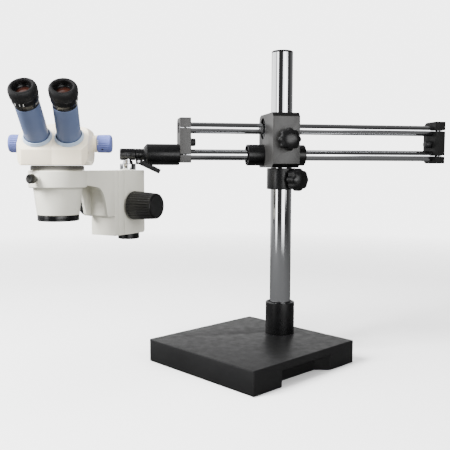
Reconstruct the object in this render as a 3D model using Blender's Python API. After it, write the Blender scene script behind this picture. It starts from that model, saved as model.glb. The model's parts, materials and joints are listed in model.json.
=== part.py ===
"""Zoom stereo microscope head on a double-arm boom stand.

+Z is up. The origin is the centre of the base's underside, +Y points to the
rear of the base, and the pillar stands at the rear. Every rigid body has an
empty on its joint's axis, and its pieces are parented to that empty.

Sizes are written in millimetres. The frame and shape helpers turn them into
the scene's metres.
"""

import math

import bmesh
import bpy
from mathutils import Matrix, Vector

METRES = 0.001  # metres in a millimetre
GAP = 0.3  # clearance between pieces that touch
SIDES = ((-1, "left"), (1, "right"))

# base and pillar
BASE_SIDE = 255
BASE_HEIGHT = 40
GRIP_LENGTH = 126  # hand-hold pocket, at the face
GRIP_HEIGHT = 27
GRIP_DEPTH = 20
PILLAR_Y = 76
PILLAR_R = 19
PILLAR_TOP = 550  # top of the cap
PILLAR_LOW = BASE_HEIGHT + 2 * GAP
PILLAR_HIGH = PILLAR_TOP - 3.6
PILLAR_BORE_R = PILLAR_R + GAP + 0.1  # bore of the socket and the stop collar
BOLT_R = 6
BOLT_HOLE_R = 6.6
SOCKET_R = 26.3
SOCKET_TOP = 98

# stop collar
COLLAR_R = 26
COLLAR_BOTTOM = 304.3
COLLAR_TOP = 342.3
COLLAR_KNOB_Z = 322
COLLAR_KNOB_ANGLE = math.radians(-7)

# lobed knobs
KNOB_R = 20
KNOB_LOBES = 8
KNOB_DEPTH = 22
STUD_R = 4.4
STUD_HOLE_R = 5

# carriage and boom; the boom frame has +X along the rails, away from the head
BOOM_ANGLE = math.radians(57.06)
BLOCK_WIDTH = 49
BLOCK_FRONT = -32
BLOCK_BACK = 69
BLOCK_BOTTOM = 343
BLOCK_TOP = 440
BLOCK_CHAMFER = 7  # front edges
BLOCK_LOW_ROUND = 8  # lower rear edge
BLOCK_HIGH_ROUND = 14  # upper rear edge
RAIL_Y = 41  # rails pass behind the pillar
RAIL_R = 10
RAIL_BORE_R = RAIL_R + 0.35
UPPER_Z = 414.5
LOWER_Z = 366
RAIL_LEFT = -181  # outer face of the left bracket
RAIL_RIGHT = 334  # outer face of the right bracket
SLEEVE_R = 19.5
SLEEVE_HALF = 55
PILLAR_LOCK_Z = 392
BRACKET_THICK = 20
BRACKET_FRONT = 22
BRACKET_BACK = 71
BRACKET_BOTTOM = 351.5
BRACKET_TOP = 432
BRACKET_ROUND = 13
CLAMP_SCREW_Y = BRACKET_FRONT + 4.6
BUMPER_Z = 388.5
BARREL_R = 19
BARREL_END = -239
LEVER_X = -255
LEVER_Z = 353.5
LEVER_DROP = math.radians(26)
KNUCKLE_R = 10.5
PIN_X = -273

# focus mount; the focus frame has its origin on the pin, +X towards the head
FOCUS_ANGLE = math.radians(-73.14)
PIN_R = 8
HOUSING_BACK = -13.4
HOUSING_FRONT = 44.2
GUIDE_FRONT = 59.3
PLATE_FRONT = 69.8
MOUNT_HALF = 26
MOUNT_BOTTOM = 227
MOUNT_TOP = 338
GROOVE_BACK = HOUSING_FRONT + 4
GROOVE_FRONT = GUIDE_FRONT + 6  # the cutter's front, past the guide's face
GROOVE_BACK_HALF = 16  # half width at GROOVE_BACK
GROOVE_FRONT_HALF = 7.3
TAIL_BACK = HOUSING_FRONT + 4.5
TAIL_FRONT = GUIDE_FRONT + 3
TAIL_CLEARANCE = 0.5
RACK_SLOT_HALF = 8.5
RACK_HALF = 26
PINION_X = 23
PINION_Z = 277
PINION_TEETH = 10
PINION_PITCH_R = 7.5
SHAFT_R = 5
RING_X = 177
RING_R = 44.25
RING_BORE_R = 38
RING_BOTTOM = 312
THUMB_Z = 326

# head; +X to the user's right, -Y towards the user
HEAD_ANGLE = math.radians(48.93)
HEAD_BOTTOM = 346.1
ZOOM_Y = 30
ZOOM_Z = 380.5
TUBE_X = 23.85
TUBE_Y = -25.2
TUBE_Z = 388.3
TUBE_LEAN = math.radians(45)
TUBE_SPREAD = math.radians(3.9)  # swing of each tube from straight ahead
TUBE_R = 18

# base colour, roughness, metallic
FINISHES = {
    "stand_black": ((0.012, 0.012, 0.013), 0.45, 0.0),
    "casting_grey": ((0.10, 0.10, 0.105), 0.55, 0.0),
    "knob_black": ((0.014, 0.014, 0.015), 0.5, 0.0),
    "chrome": ((0.75, 0.76, 0.78), 0.12, 1.0),
    "steel": ((0.55, 0.55, 0.56), 0.3, 1.0),
    "brass": ((0.70, 0.50, 0.20), 0.3, 1.0),
    "rubber": ((0.02, 0.02, 0.02), 0.8, 0.0),
    "light_grey": ((0.62, 0.61, 0.57), 0.4, 0.0),
    "cream": ((0.76, 0.70, 0.62), 0.4, 0.0),
    "tube_blue": ((0.13, 0.20, 0.38), 0.35, 0.0),
    "ring_blue": ((0.30, 0.38, 0.52), 0.4, 0.0),
    "knob_blue": ((0.24, 0.28, 0.62), 0.4, 0.0),
    "eyepiece_black": ((0.015, 0.015, 0.016), 0.4, 0.0),
    "glass": ((0.55, 0.6, 0.62), 0.05, 0.0),
}

for existing in list(bpy.data.objects):
    bpy.data.objects.remove(existing, do_unlink=True)

scene = bpy.context.scene
scene.unit_settings.system = "METRIC"
scene.unit_settings.scale_length = 1.0


def make_material(name, colour, roughness, metallic):
    material = bpy.data.materials.new(name)
    material.use_nodes = True
    inputs = material.node_tree.nodes["Principled BSDF"].inputs
    inputs["Base Color"].default_value = (*colour, 1.0)
    inputs["Roughness"].default_value = roughness
    inputs["Metallic"].default_value = metallic
    material.diffuse_color = (*colour, 1.0)
    return material


materials = {name: make_material(name, *finish) for name, finish in FINISHES.items()}


# ---------------------------------------------------------------- frames
def metres(*lengths):
    return Vector([length * METRES for length in lengths])


def level(frame, x, y, angle=0.0):
    """A level frame at (x, y) in another, its X at an angle from the world's X."""
    return Matrix.Translation(frame @ metres(x, y, 0)) @ Matrix.Rotation(angle, 4, "Z")


def shifted(frame, x, y, z):
    return frame @ Matrix.Translation(metres(x, y, z))


def aimed(frame, origin, direction, side=(0, 0, 1)):
    """A frame at origin whose Z runs along direction, with X as near side as it can be."""
    z_axis = Vector(direction).normalized()
    x_axis = Vector(side) - z_axis * Vector(side).dot(z_axis)
    x_axis.normalize()
    turn = Matrix((x_axis, z_axis.cross(x_axis), z_axis)).transposed().to_4x4()
    return frame @ (Matrix.Translation(metres(*origin)) @ turn)


# planes to draw outlines in
DRAW_YZ = Matrix(((0, 0, 1, 0), (1, 0, 0, 0), (0, 1, 0, 0), (0, 0, 0, 1)))  # depth along +X
DRAW_XZ = Matrix(((1, 0, 0, 0), (0, 0, -1, 0), (0, 1, 0, 0), (0, 0, 0, 1)))  # depth along -Y

BASE = Matrix.Identity(4)
PILLAR = level(BASE, 0, PILLAR_Y)
COLLAR = level(BASE, 0, PILLAR_Y, COLLAR_KNOB_ANGLE)
COLLAR_OUT = aimed(COLLAR, (0, 0, COLLAR_KNOB_Z), (1, 0, 0))

BOOM = level(BASE, 0, PILLAR_Y, BOOM_ANGLE)
BOOM_SIDE = BOOM @ DRAW_YZ
LOWER_RAIL = aimed(BOOM, (0, RAIL_Y, LOWER_Z), (1, 0, 0))
UPPER_RAIL = aimed(BOOM, (0, RAIL_Y, UPPER_Z), (1, 0, 0))
LOCK_FRONT = aimed(BOOM, (0, 0, PILLAR_LOCK_Z), (0, -1, 0))
LOCK_REAR = aimed(BOOM, (0, RAIL_Y, LOWER_Z), (0, 1, 0))
LEVER_PLACE = (LEVER_X, RAIL_Y, LEVER_Z)
LEVER_SCREW = aimed(BOOM, LEVER_PLACE, (0, -1, 0))
lever_direction = (math.cos(LEVER_DROP), 0, -math.sin(LEVER_DROP))
LEVER_BAR = aimed(BOOM, LEVER_PLACE, (0, -1, 0), lever_direction)  # X runs along the lever
SET_SCREW = aimed(BOOM, (PIN_X, RAIL_Y, LOWER_Z), (0, -1, 0))

FOCUS = level(BOOM, PIN_X, RAIL_Y, FOCUS_ANGLE)
FOCUS_SIDE = FOCUS @ DRAW_XZ
PINION = aimed(FOCUS, (PINION_X, 0, PINION_Z), (0, 1, 0), (1, 0, 0))
RING = shifted(FOCUS, RING_X, 0, 0)
THUMB = aimed(FOCUS, (RING_X, 0, THUMB_Z), (1, 0, 0), (0, 1, 0))

HEAD = level(FOCUS, RING_X, 0, HEAD_ANGLE)


def tube_frame(side):
    """Origin at the tube's pivot, Z along the tube."""
    swing = side * TUBE_SPREAD
    direction = (
        math.sin(swing) * math.sin(TUBE_LEAN),
        -math.cos(swing) * math.sin(TUBE_LEAN),
        math.cos(TUBE_LEAN),
    )
    return aimed(HEAD, (side * TUBE_X, TUBE_Y, TUBE_Z), direction, (1, 0, 0))


def zoom_frame(side):
    """Origin at the zoom shaft's middle, Z out along it."""
    return aimed(HEAD, (0, ZOOM_Y, ZOOM_Z), (side, 0, 0))


# ---------------------------------------------------------------- bodies
bodies = {}  # name: (empty, its world matrix)


def body(name, place, parent=None):
    """An empty on the body's joint axis."""
    empty = bpy.data.objects.new(name, None)
    empty.empty_display_size = 0.02
    scene.collection.objects.link(empty)
    if parent:
        parent_empty, parent_place = bodies[parent]
        empty.parent = parent_empty
        empty.matrix_local = parent_place.inverted() @ place
    else:
        empty.matrix_world = place
    bodies[name] = (empty, place)


body("stand", BASE)
body("collar", COLLAR, "stand")
body("collar_knob_axis", shifted(COLLAR, 0, 0, COLLAR_KNOB_Z), "collar")
body("carriage", BOOM, "collar")
body("pillar_lock_axis", shifted(BOOM, 0, 0, PILLAR_LOCK_Z), "carriage")
body("boom_lock_axis", shifted(BOOM, 0, RAIL_Y, LOWER_Z), "carriage")
body("boom", shifted(BOOM, 0, RAIL_Y, LOWER_Z), "carriage")
body("lever_axis", shifted(BOOM, *LEVER_PLACE), "boom")
body("arm_roll_axis", shifted(BOOM, PIN_X, RAIL_Y, LOWER_Z), "boom")
body("pin_axis", FOCUS, "arm_roll_axis")
body("focus_slide", FOCUS, "pin_axis")
body("pinion_axis", shifted(FOCUS, PINION_X, 0, PINION_Z), "pin_axis")
body("thumb_axis", shifted(FOCUS, RING_X, 0, THUMB_Z), "focus_slide")
body("head", HEAD, "focus_slide")
body("zoom_axis", shifted(HEAD, 0, ZOOM_Y, ZOOM_Z), "head")
body("zoom_travel", HEAD, "head")
for side, hand in SIDES:
    body("tube_pivot_" + hand, shifted(HEAD, side * TUBE_X, TUBE_Y, TUBE_Z), "head")
    body("dioptre_axis_" + hand, tube_frame(side), "tube_pivot_" + hand)


# ---------------------------------------------------------------- shapes
def keep(name, shape, frame, owner, finish):
    """Puts a shape drawn in a frame under its body's empty; without a finish it is a helper."""
    bmesh.ops.recalc_face_normals(shape, faces=shape.faces[:])
    mesh = bpy.data.meshes.new(name)
    shape.to_mesh(mesh)
    shape.free()
    mesh.shade_smooth()
    mesh.set_sharp_from_angle(angle=math.radians(32))
    piece = bpy.data.objects.new(name, mesh)
    scene.collection.objects.link(piece)
    empty, place = bodies[owner]
    piece.parent = empty
    piece.matrix_local = place.inverted() @ frame
    if finish:
        mesh.materials.append(materials[finish])
    else:
        piece.hide_render = True
        piece.display_type = "WIRE"
    return piece


def extrude(shape, face, **options):
    """Extrudes a face in place; returns the new face and its vertices."""
    raised = bmesh.ops.extrude_face_region(shape, geom=[face], **options)["geom"]
    verts = [part for part in raised if isinstance(part, bmesh.types.BMVert)]
    faces = [part for part in raised if isinstance(part, bmesh.types.BMFace)]
    return faces[0], verts


def turned(name, profile, sides, frame, owner, finish=None):
    """A solid of revolution about the frame's Z, from (radius, height) points.

    A profile that starts and ends on the axis is a solid piece, and any other
    is closed into a ring.
    """
    shape = bmesh.new()
    points = [shape.verts.new(metres(radius, 0, height)) for radius, height in profile]
    edges = [shape.edges.new(pair) for pair in zip(points, points[1:])]
    if profile[0][0] > 0 or profile[-1][0] > 0:
        edges.append(shape.edges.new((points[-1], points[0])))
    bmesh.ops.spin(
        shape,
        geom=points + edges,
        cent=(0, 0, 0),
        axis=(0, 0, 1),
        angle=2 * math.pi,
        steps=sides,
        use_merge=True,
    )
    bmesh.ops.remove_doubles(shape, verts=shape.verts[:], dist=1e-7)
    bmesh.ops.dissolve_degenerate(shape, edges=shape.edges[:], dist=1e-7)
    return keep(name, shape, frame, owner, finish)


def mirrored(profile):
    """A profile followed by its mirror image across height zero."""
    return profile + [(radius, -height) for radius, height in reversed(profile)]


def rod(name, radius, low, high, frame, owner, finish=None, sides=16):
    profile = [(0, low), (radius, low), (radius, high), (0, high)]
    return turned(name, profile, sides, frame, owner, finish)


def slab(name, outline, low, high, frame, owner, finish=None, soften=0.0):
    """An outline in the frame's XY, extruded along its Z; soften is the edge bevel's width."""
    shape = bmesh.new()
    face = shape.faces.new([shape.verts.new(metres(x, y, low)) for x, y in outline])
    verts = extrude(shape, face)[1]
    bmesh.ops.translate(shape, verts=verts, vec=metres(0, 0, high - low))
    piece = keep(name, shape, frame, owner, finish)
    if soften:
        bevel = piece.modifiers.new("soften", "BEVEL")
        bevel.width = soften * METRES
        bevel.segments = 2
        bevel.limit_method = "ANGLE"
        bevel.angle_limit = math.radians(40)
    return piece


def block(name, low, high, frame, owner, finish=None, soften=0.0):
    """A box between two opposite corners."""
    outline = [(low[0], low[1]), (high[0], low[1]), (high[0], high[1]), (low[0], high[1])]
    return slab(name, outline, low[2], high[2], frame, owner, finish, soften)


def corner(centre_x, centre_y, radius, start, steps):
    """A quarter circle of points from the start angle."""
    angles = [start + math.pi / 2 * step / steps for step in range(steps + 1)]
    return [
        (centre_x + radius * math.cos(angle), centre_y + radius * math.sin(angle))
        for angle in angles
    ]


def boolean(piece, other, operation, solver="EXACT"):
    modifier = piece.modifiers.new(operation.lower(), "BOOLEAN")
    modifier.operation = operation
    modifier.solver = solver
    modifier.object = other


def cut(piece, other, solver="EXACT"):
    boolean(piece, other, "DIFFERENCE", solver)


def join(piece, other, solver="EXACT"):
    boolean(piece, other, "UNION", solver)


def lobed(name, base, frame, owner, finish):
    """A lobed hand grip with a stepped-in face, rising from base along the frame's Z."""
    shape = bmesh.new()
    steps = KNOB_LOBES * 3
    rim = []
    for step in range(steps):
        angle = 2 * math.pi * step / steps
        radius = KNOB_R * (0.93 + 0.07 * math.cos(KNOB_LOBES * angle))
        place = metres(radius * math.cos(angle), radius * math.sin(angle), base)
        rim.append(shape.verts.new(place))
    face = shape.faces.new(rim)
    height = base
    # rise, scale of the layer below
    for rise, scale in ((KNOB_DEPTH - 4, 1.0), (2.5, 0.9), (1.5, 0.55)):
        raised, verts = extrude(shape, face, use_keep_orig=True)
        if height > base:  # only the underside stays; faces between layers go
            bmesh.ops.delete(shape, geom=[face], context="FACES_ONLY")
        face = raised
        height += rise
        for vert in verts:
            vert.co = Vector((vert.co.x * scale, vert.co.y * scale, height * METRES))
    return keep(name, shape, frame, owner, finish)


def stud_knob(name, frame, owner, seat, tip):
    """A lobed knob whose neck starts at seat and whose stud reaches tip, along the frame's Z."""
    knob = lobed(name, seat + 8, frame, owner, "knob_black")
    neck_r = 9.5
    neck_top = seat + 12
    profile = [
        (0, tip), (STUD_R, tip), (STUD_R, seat),
        (neck_r, seat), (neck_r, neck_top), (0, neck_top),
    ]
    join(knob, turned(name + "_shank", profile, 16, frame, owner))


# ---------------------------------------------------------------- base
def build_base_plate():
    half = BASE_SIDE / 2
    plate = block(
        "base_plate", (-half, -half, 0), (half, half, BASE_HEIGHT),
        BASE, "stand", "stand_black", soften=1.6,
    )
    mouth = GRIP_LENGTH / 2
    inner = mouth - GRIP_DEPTH
    reach = 5  # the cutter runs past the face
    for side, hand in SIDES:
        grip = [
            (side * (half + reach), -(mouth + reach)),
            (side * (half - GRIP_DEPTH), -inner),
            (side * (half - GRIP_DEPTH), inner),
            (side * (half + reach), mouth + reach),
        ]
        if side < 0:
            grip.reverse()
        cut(plate, slab("grip_cutter_" + hand, grip, -5, GRIP_HEIGHT, BASE, "stand"))
    cut(plate, rod("bolt_head_cutter", 12, -2, 12, PILLAR, "stand"))
    cut(plate, rod("bolt_hole_cutter", BOLT_HOLE_R, 10, 45, PILLAR, "stand", sides=12))


def build_base_socket():
    bottom = BASE_HEIGHT + GAP
    profile = [
        (PILLAR_BORE_R, bottom), (SOCKET_R, bottom),
        (SOCKET_R, SOCKET_TOP - 1), (SOCKET_R - 1, SOCKET_TOP),
        (23, SOCKET_TOP), (21.5, SOCKET_TOP - 2), (PILLAR_BORE_R, SOCKET_TOP - 2),
    ]
    turned("base_socket", profile, 20, PILLAR, "stand", "stand_black")


def build_pillar():
    """The pillar, bored at both ends, and the cap plugged into its top."""
    bolt_bore_top = PILLAR_LOW + 42
    cap_bore_low = PILLAR_HIGH - 16
    profile = [
        (0, bolt_bore_top), (BOLT_HOLE_R, bolt_bore_top), (BOLT_HOLE_R, PILLAR_LOW),
        (PILLAR_R, PILLAR_LOW), (PILLAR_R, PILLAR_HIGH),
        (15.5, PILLAR_HIGH), (15.5, cap_bore_low), (0, cap_bore_low),
    ]
    turned("pillar", profile, 20, PILLAR, "stand", "chrome")
    cap = [
        (0, PILLAR_HIGH - 13), (15, PILLAR_HIGH - 13), (15, PILLAR_HIGH + GAP),
        (PILLAR_R, PILLAR_HIGH + GAP), (PILLAR_R, PILLAR_TOP - 1.6),
        (PILLAR_R - 1.4, PILLAR_TOP - 0.5), (0, PILLAR_TOP),
    ]
    turned("pillar_cap", cap, 20, PILLAR, "stand", "stand_black")


def build_pillar_bolt():
    profile = [
        (0, 1.5), (9.5, 1.5), (10.5, 2.5), (10.5, 11.6),
        (BOLT_R, 11.6), (BOLT_R, 78), (0, 78),
    ]
    bolt = turned("pillar_bolt", profile, 16, PILLAR, "stand", "steel")
    cut(bolt, rod("bolt_hex_cutter", 5.6, 0, 8, PILLAR, "stand", sides=6))


# ---------------------------------------------------------------- stop collar
def build_stop_collar():
    profile = [
        (PILLAR_BORE_R, COLLAR_BOTTOM), (COLLAR_R - 1, COLLAR_BOTTOM),
        (COLLAR_R, COLLAR_BOTTOM + 1), (COLLAR_R, COLLAR_TOP - 1),
        (COLLAR_R - 1, COLLAR_TOP), (PILLAR_BORE_R, COLLAR_TOP),
    ]
    collar = turned("stop_collar", profile, 20, COLLAR, "collar", "stand_black")
    cut(collar, rod("collar_knob_hole", STUD_HOLE_R, 10, 30, COLLAR_OUT, "collar"))
    stud_knob("collar_knob", COLLAR_OUT, "collar_knob_axis", COLLAR_R + 1.2, PILLAR_R + 0.6)


# ---------------------------------------------------------------- carriage
def build_carriage_block():
    low_round, high_round = BLOCK_LOW_ROUND, BLOCK_HIGH_ROUND
    outline = [  # y, z
        (BLOCK_FRONT, BLOCK_BOTTOM + BLOCK_CHAMFER),
        (BLOCK_FRONT + BLOCK_CHAMFER, BLOCK_BOTTOM),
        *corner(BLOCK_BACK - low_round, BLOCK_BOTTOM + low_round, low_round, -math.pi / 2, 3),
        *corner(BLOCK_BACK - high_round, BLOCK_TOP - high_round, high_round, 0, 4),
        (BLOCK_FRONT + BLOCK_CHAMFER, BLOCK_TOP),
        (BLOCK_FRONT, BLOCK_TOP - BLOCK_CHAMFER),
    ]
    half = BLOCK_WIDTH / 2
    piece = slab(
        "carriage_block", outline, -half, half, BOOM_SIDE, "carriage", "casting_grey", soften=0.8
    )
    # name, radius, low, high, frame, sides
    for name, *hole, frame, sides in (
        ("pillar_bore", PILLAR_R + 0.45, 330, 450, BOOM, 20),
        ("sleeve_bore", SLEEVE_R + 0.35, -40, 40, LOWER_RAIL, 16),
        ("bearing_bore", 19.5, -40, 40, UPPER_RAIL, 16),
        ("pillar_lock_hole", STUD_HOLE_R, 10, 40, LOCK_FRONT, 16),
        ("boom_lock_hole", STUD_HOLE_R, 12, 40, LOCK_REAR, 16),
    ):
        cut(piece, rod(name, *hole, frame, "carriage", sides=sides))


def build_lock_knobs():
    stud_knob(
        "pillar_lock_knob", LOCK_FRONT, "pillar_lock_axis",
        seat=-BLOCK_FRONT + 0.4, tip=PILLAR_R + 0.7,
    )
    stud_knob(
        "boom_lock_knob", LOCK_REAR, "boom_lock_axis",
        seat=BLOCK_BACK - RAIL_Y + 0.4, tip=RAIL_R + 0.8,
    )


def build_rail_bearings():
    bearing = mirrored([
        (RAIL_BORE_R, -18.5), (14, -18.5), (15, -19.5),
        (16.5, -19.5), (16.5, -21), (19.2, -21),
    ])
    turned("upper_bearing", bearing, 16, UPPER_RAIL, "carriage", "steel")

    sleeve_profile = mirrored([
        (15.3, -SLEEVE_HALF + 6), (17, -SLEEVE_HALF + 5), (17, -SLEEVE_HALF),
        (SLEEVE_R - 0.8, -SLEEVE_HALF), (SLEEVE_R, -SLEEVE_HALF + 0.8),
    ])
    sleeve = turned("lower_sleeve", sleeve_profile, 16, LOWER_RAIL, "carriage", "stand_black")
    cut(sleeve, rod("sleeve_lock_hole", STUD_HOLE_R, 12, 24, LOCK_REAR, "carriage"))

    bushing_profile = mirrored([(RAIL_BORE_R, -50), (15, -50)])
    bushing = turned("lower_bushing", bushing_profile, 16, LOWER_RAIL, "carriage", "brass")
    cut(bushing, rod("bushing_lock_hole", STUD_HOLE_R, 8, 20, LOCK_REAR, "carriage"))


# ---------------------------------------------------------------- boom
def build_rails():
    high = RAIL_RIGHT - 1
    rod("upper_rail", RAIL_R, RAIL_LEFT + 1, high, UPPER_RAIL, "boom", "chrome")
    rod("lower_rail", RAIL_R, RAIL_LEFT + 6.5, high, LOWER_RAIL, "boom", "chrome")


def fit_rail_clamp(bracket, where, rail, rail_z, face, low, high):
    """Rail hole, clamping slit and vertical clamp screw for one rail in a bracket.

    The screw enters from the bracket's top or bottom face, at height face.
    """
    hole = rod("rail_hole_" + where, RAIL_R + 0.3, low - 5, high + 5, rail, "boom")
    cut(bracket, hole, "MANIFOLD")
    slit = block(
        "slit_" + where,
        (low - 5, BRACKET_FRONT - 5, rail_z - 1.1),
        (high + 5, RAIL_Y - 4, rail_z + 1.1),
        BOOM, "boom",
    )
    cut(bracket, slit, "MANIFOLD")

    inward = -1 if face > rail_z else 1
    place = ((low + high) / 2, CLAMP_SCREW_Y, face)
    screw_frame = aimed(BOOM, place, (0, 0, inward), (1, 0, 0))
    reach = abs(face - rail_z) + 11
    shaft_hole = rod("screw_hole_" + where, 2.4, 2, reach + 1, screw_frame, "boom", sides=12)
    cut(bracket, shaft_hole, "MANIFOLD")
    seat = rod("screw_seat_" + where, 4.1, -3, 4.6, screw_frame, "boom", sides=12)
    cut(bracket, seat, "MANIFOLD")
    profile = [
        (0, 0.4), (3.3, 0.4), (3.6, 0.7), (3.6, 4.3), (2, 4.3), (2, reach), (0, reach),
    ]
    screw = turned("clamp_screw_" + where, profile, 12, screw_frame, "boom", "steel")
    cut(screw, rod("screw_hex_" + where, 1.7, -1, 2.4, screw_frame, "boom", sides=6))


def build_bracket(hand, low, inward, bumper_end):
    """An end bracket from low along the boom, with a bumper on its inward face."""
    high = low + BRACKET_THICK
    round_y = BRACKET_BACK - BRACKET_ROUND
    outline = [  # y, z
        (BRACKET_FRONT, BRACKET_BOTTOM),
        *corner(round_y, BRACKET_BOTTOM + BRACKET_ROUND, BRACKET_ROUND, -math.pi / 2, 4),
        *corner(round_y, BRACKET_TOP - BRACKET_ROUND, BRACKET_ROUND, 0, 4),
        (BRACKET_FRONT, BRACKET_TOP),
    ]
    bracket = slab("bracket_" + hand, outline, low, high, BOOM_SIDE, "boom", "casting_grey")
    fit_rail_clamp(bracket, "upper_" + hand, UPPER_RAIL, UPPER_Z, BRACKET_TOP, low, high)
    fit_rail_clamp(bracket, "lower_" + hand, LOWER_RAIL, LOWER_Z, BRACKET_BOTTOM, low, high)

    inner_face = high if inward > 0 else low
    inside = aimed(BOOM, (inner_face, RAIL_Y, BUMPER_Z), (inward, 0, 0))
    cut(bracket, rod("bumper_hole_" + hand, 2.9, -10, 5, inside, "boom", sides=12), "MANIFOLD")
    bumper = [
        (0, -9), (2.5, -9), (2.5, GAP), (7, GAP),
        (7, bumper_end - 2), (5.5, bumper_end - 0.4), (0, bumper_end),
    ]
    turned("bumper_" + hand, bumper, 16, inside, "boom", "rubber")


def build_arm_barrel():
    barrel_face = RAIL_LEFT - GAP
    profile = [
        # neck with two shallow grooves
        (6.45, -258.8), (10.3, -258.8), (10.3, -254.8), (9.6, -254.5), (9.6, -253.9),
        (10.3, -253.6), (10.3, -250), (9.7, -249.6), (9.7, -249), (10.3, -248.6),
        (10.3, -245), (13.2, -244.2),
        # barrel
        (BARREL_R, BARREL_END), (BARREL_R, barrel_face - 0.6), (BARREL_R - 0.6, barrel_face),
        # spigot in the bracket's lower rail hole
        (9.9, barrel_face), (9.9, RAIL_LEFT + 5.5), (0, RAIL_LEFT + 5.5),
        # bore for the knuckle's shank
        (0, -208), (6.45, -210),
    ]
    barrel = turned("arm_barrel", profile, 16, LOWER_RAIL, "boom", "stand_black")
    # clamp ears under the neck, with their slit and screw hole
    ears = block(
        "clamp_ears", (-258.6, RAIL_Y - 9, 348.5), (-251.5, RAIL_Y + 9, 357.5), BOOM, "boom"
    )
    join(barrel, ears)
    slit = block(
        "clamp_slit", (-265, RAIL_Y - 0.8, 340), (-250.6, RAIL_Y + 0.8, 361), BOOM, "boom"
    )
    cut(barrel, slit)
    cut(barrel, rod("lever_hole", 2.5, -15, 15, LEVER_SCREW, "boom", sides=12))


def build_clamp_lever():
    outline = [
        (-4.6, -2.2), (-2.6, -4.2), (2, -4.6), (41.5, -4.1),
        (41.5, 4.1), (2, 4.6), (-2.6, 4.2), (-4.6, 2.2),
    ]
    lever = slab("clamp_lever", outline, 20, 24.5, LEVER_BAR, "lever_axis", "stand_black")
    screw = [(0, -8), (2.1, -8), (2.1, 9.4), (4.2, 9.4), (4.2, 22), (0, 22)]
    join(lever, turned("lever_screw", screw, 12, LEVER_SCREW, "lever_axis"))


def build_knuckle():
    """The swivel at the boom's head end, bored for the mount pin, and its set screw."""
    owner = "arm_roll_axis"
    profile = [
        (0, -287), (KNUCKLE_R - 1.6, -287), (KNUCKLE_R, -285.4), (KNUCKLE_R, -260.2),
        (KNUCKLE_R - 1, -259.2), (6, -259.2), (6, -213), (0, -213),
    ]
    knuckle = turned("knuckle", profile, 16, LOWER_RAIL, owner, "stand_black")
    cut(knuckle, rod("pin_hole", 6.4, 345, 374, FOCUS, owner))
    cut(knuckle, rod("set_screw_hole", 3.6, 3, 14, SET_SCREW, owner, sides=12))
    screw = rod("knuckle_set_screw", 3.2, 6.6, 10, SET_SCREW, owner, "steel", sides=12)
    cut(screw, block("screw_slot", (-5, -0.5, 9), (5, 0.5, 12), SET_SCREW, owner))


# ---------------------------------------------------------------- focus mount
def build_mount_pin():
    profile = [
        (0, 238), (4.4, 238), (4.4, 228.4), (PIN_R, 228.4), (PIN_R, MOUNT_TOP + GAP),
        (13.4, MOUNT_TOP + GAP), (14.2, MOUNT_TOP + 1), (14.2, 348.7), (13.4, 349.5),
        (9.2, 349.5), (9.2, 352.4), (8.4, 353), (8.4, 355), (6, 355), (6, 373), (0, 373),
    ]
    turned("mount_pin", profile, 16, FOCUS, "pin_axis", "chrome")


def build_focus_housing():
    owner = "pin_axis"
    housing = block(
        "focus_housing",
        (HOUSING_BACK, -MOUNT_HALF, MOUNT_BOTTOM),
        (HOUSING_FRONT, MOUNT_HALF, MOUNT_TOP),
        FOCUS, owner, "light_grey", soften=1.2,
    )
    cut(housing, rod("pin_bore", PIN_R + 0.4, 220, 345, FOCUS, owner))
    channel = block(
        "rack_channel", (27, -RACK_SLOT_HALF, 222), (52, RACK_SLOT_HALF, 330), FOCUS, owner
    )
    cut(housing, channel)
    cut(housing, block("gear_pocket", (13, -8.4, 267), (30, 8.4, 287), FOCUS, owner))
    cut(housing, rod("shaft_bore", SHAFT_R + 0.5, -40, 40, PINION, owner))


def build_dovetail_guide():
    owner = "pin_axis"
    guide = block(
        "dovetail_guide",
        (HOUSING_FRONT + GAP, -MOUNT_HALF, MOUNT_BOTTOM),
        (GUIDE_FRONT, MOUNT_HALF, MOUNT_TOP),
        FOCUS, owner, "light_grey", soften=0.8,
    )
    # wide near the housing and narrow at the slide plate
    groove = [
        (GROOVE_BACK, -GROOVE_BACK_HALF), (GROOVE_FRONT, -GROOVE_FRONT_HALF),
        (GROOVE_FRONT, GROOVE_FRONT_HALF), (GROOVE_BACK, GROOVE_BACK_HALF),
    ]
    cut(guide, slab("dovetail_groove", groove, 220, 345, FOCUS, owner))
    # opens the groove's back wall for the rack
    window = block(
        "rack_window",
        (40, -RACK_SLOT_HALF, 222),
        (HOUSING_FRONT + 8, RACK_SLOT_HALF, 330),
        FOCUS, owner,
    )
    cut(guide, window)


def build_pin_cap():
    top = MOUNT_BOTTOM - GAP
    profile = [
        (0, 215.3), (17.6, 215.3), (19, 216.5), (19, top), (4, top), (4, 237), (0, 237),
    ]
    turned("pin_cap", profile, 16, FOCUS, "pin_axis", "stand_black")


# ---------------------------------------------------------------- focus slide
def tail_half(x):
    """Half width of the dovetail tail at depth x, clear of the groove."""
    taper = (GROOVE_BACK_HALF - GROOVE_FRONT_HALF) / (GROOVE_FRONT - GROOVE_BACK)
    return GROOVE_BACK_HALF - taper * (x - GROOVE_BACK) - TAIL_CLEARANCE


def build_slide_plate():
    plate = block(
        "slide_plate",
        (GUIDE_FRONT + GAP, -MOUNT_HALF, MOUNT_BOTTOM),
        (PLATE_FRONT, MOUNT_HALF, MOUNT_TOP),
        FOCUS, "focus_slide", "light_grey", soften=0.8,
    )
    back, front = tail_half(TAIL_BACK), tail_half(TAIL_FRONT)
    outline = [(TAIL_BACK, -back), (TAIL_FRONT, -front), (TAIL_FRONT, front), (TAIL_BACK, back)]
    tail = slab(
        "dovetail_tail", outline, MOUNT_BOTTOM + 1, MOUNT_TOP - 1, FOCUS, "focus_slide"
    )
    join(plate, tail)


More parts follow.
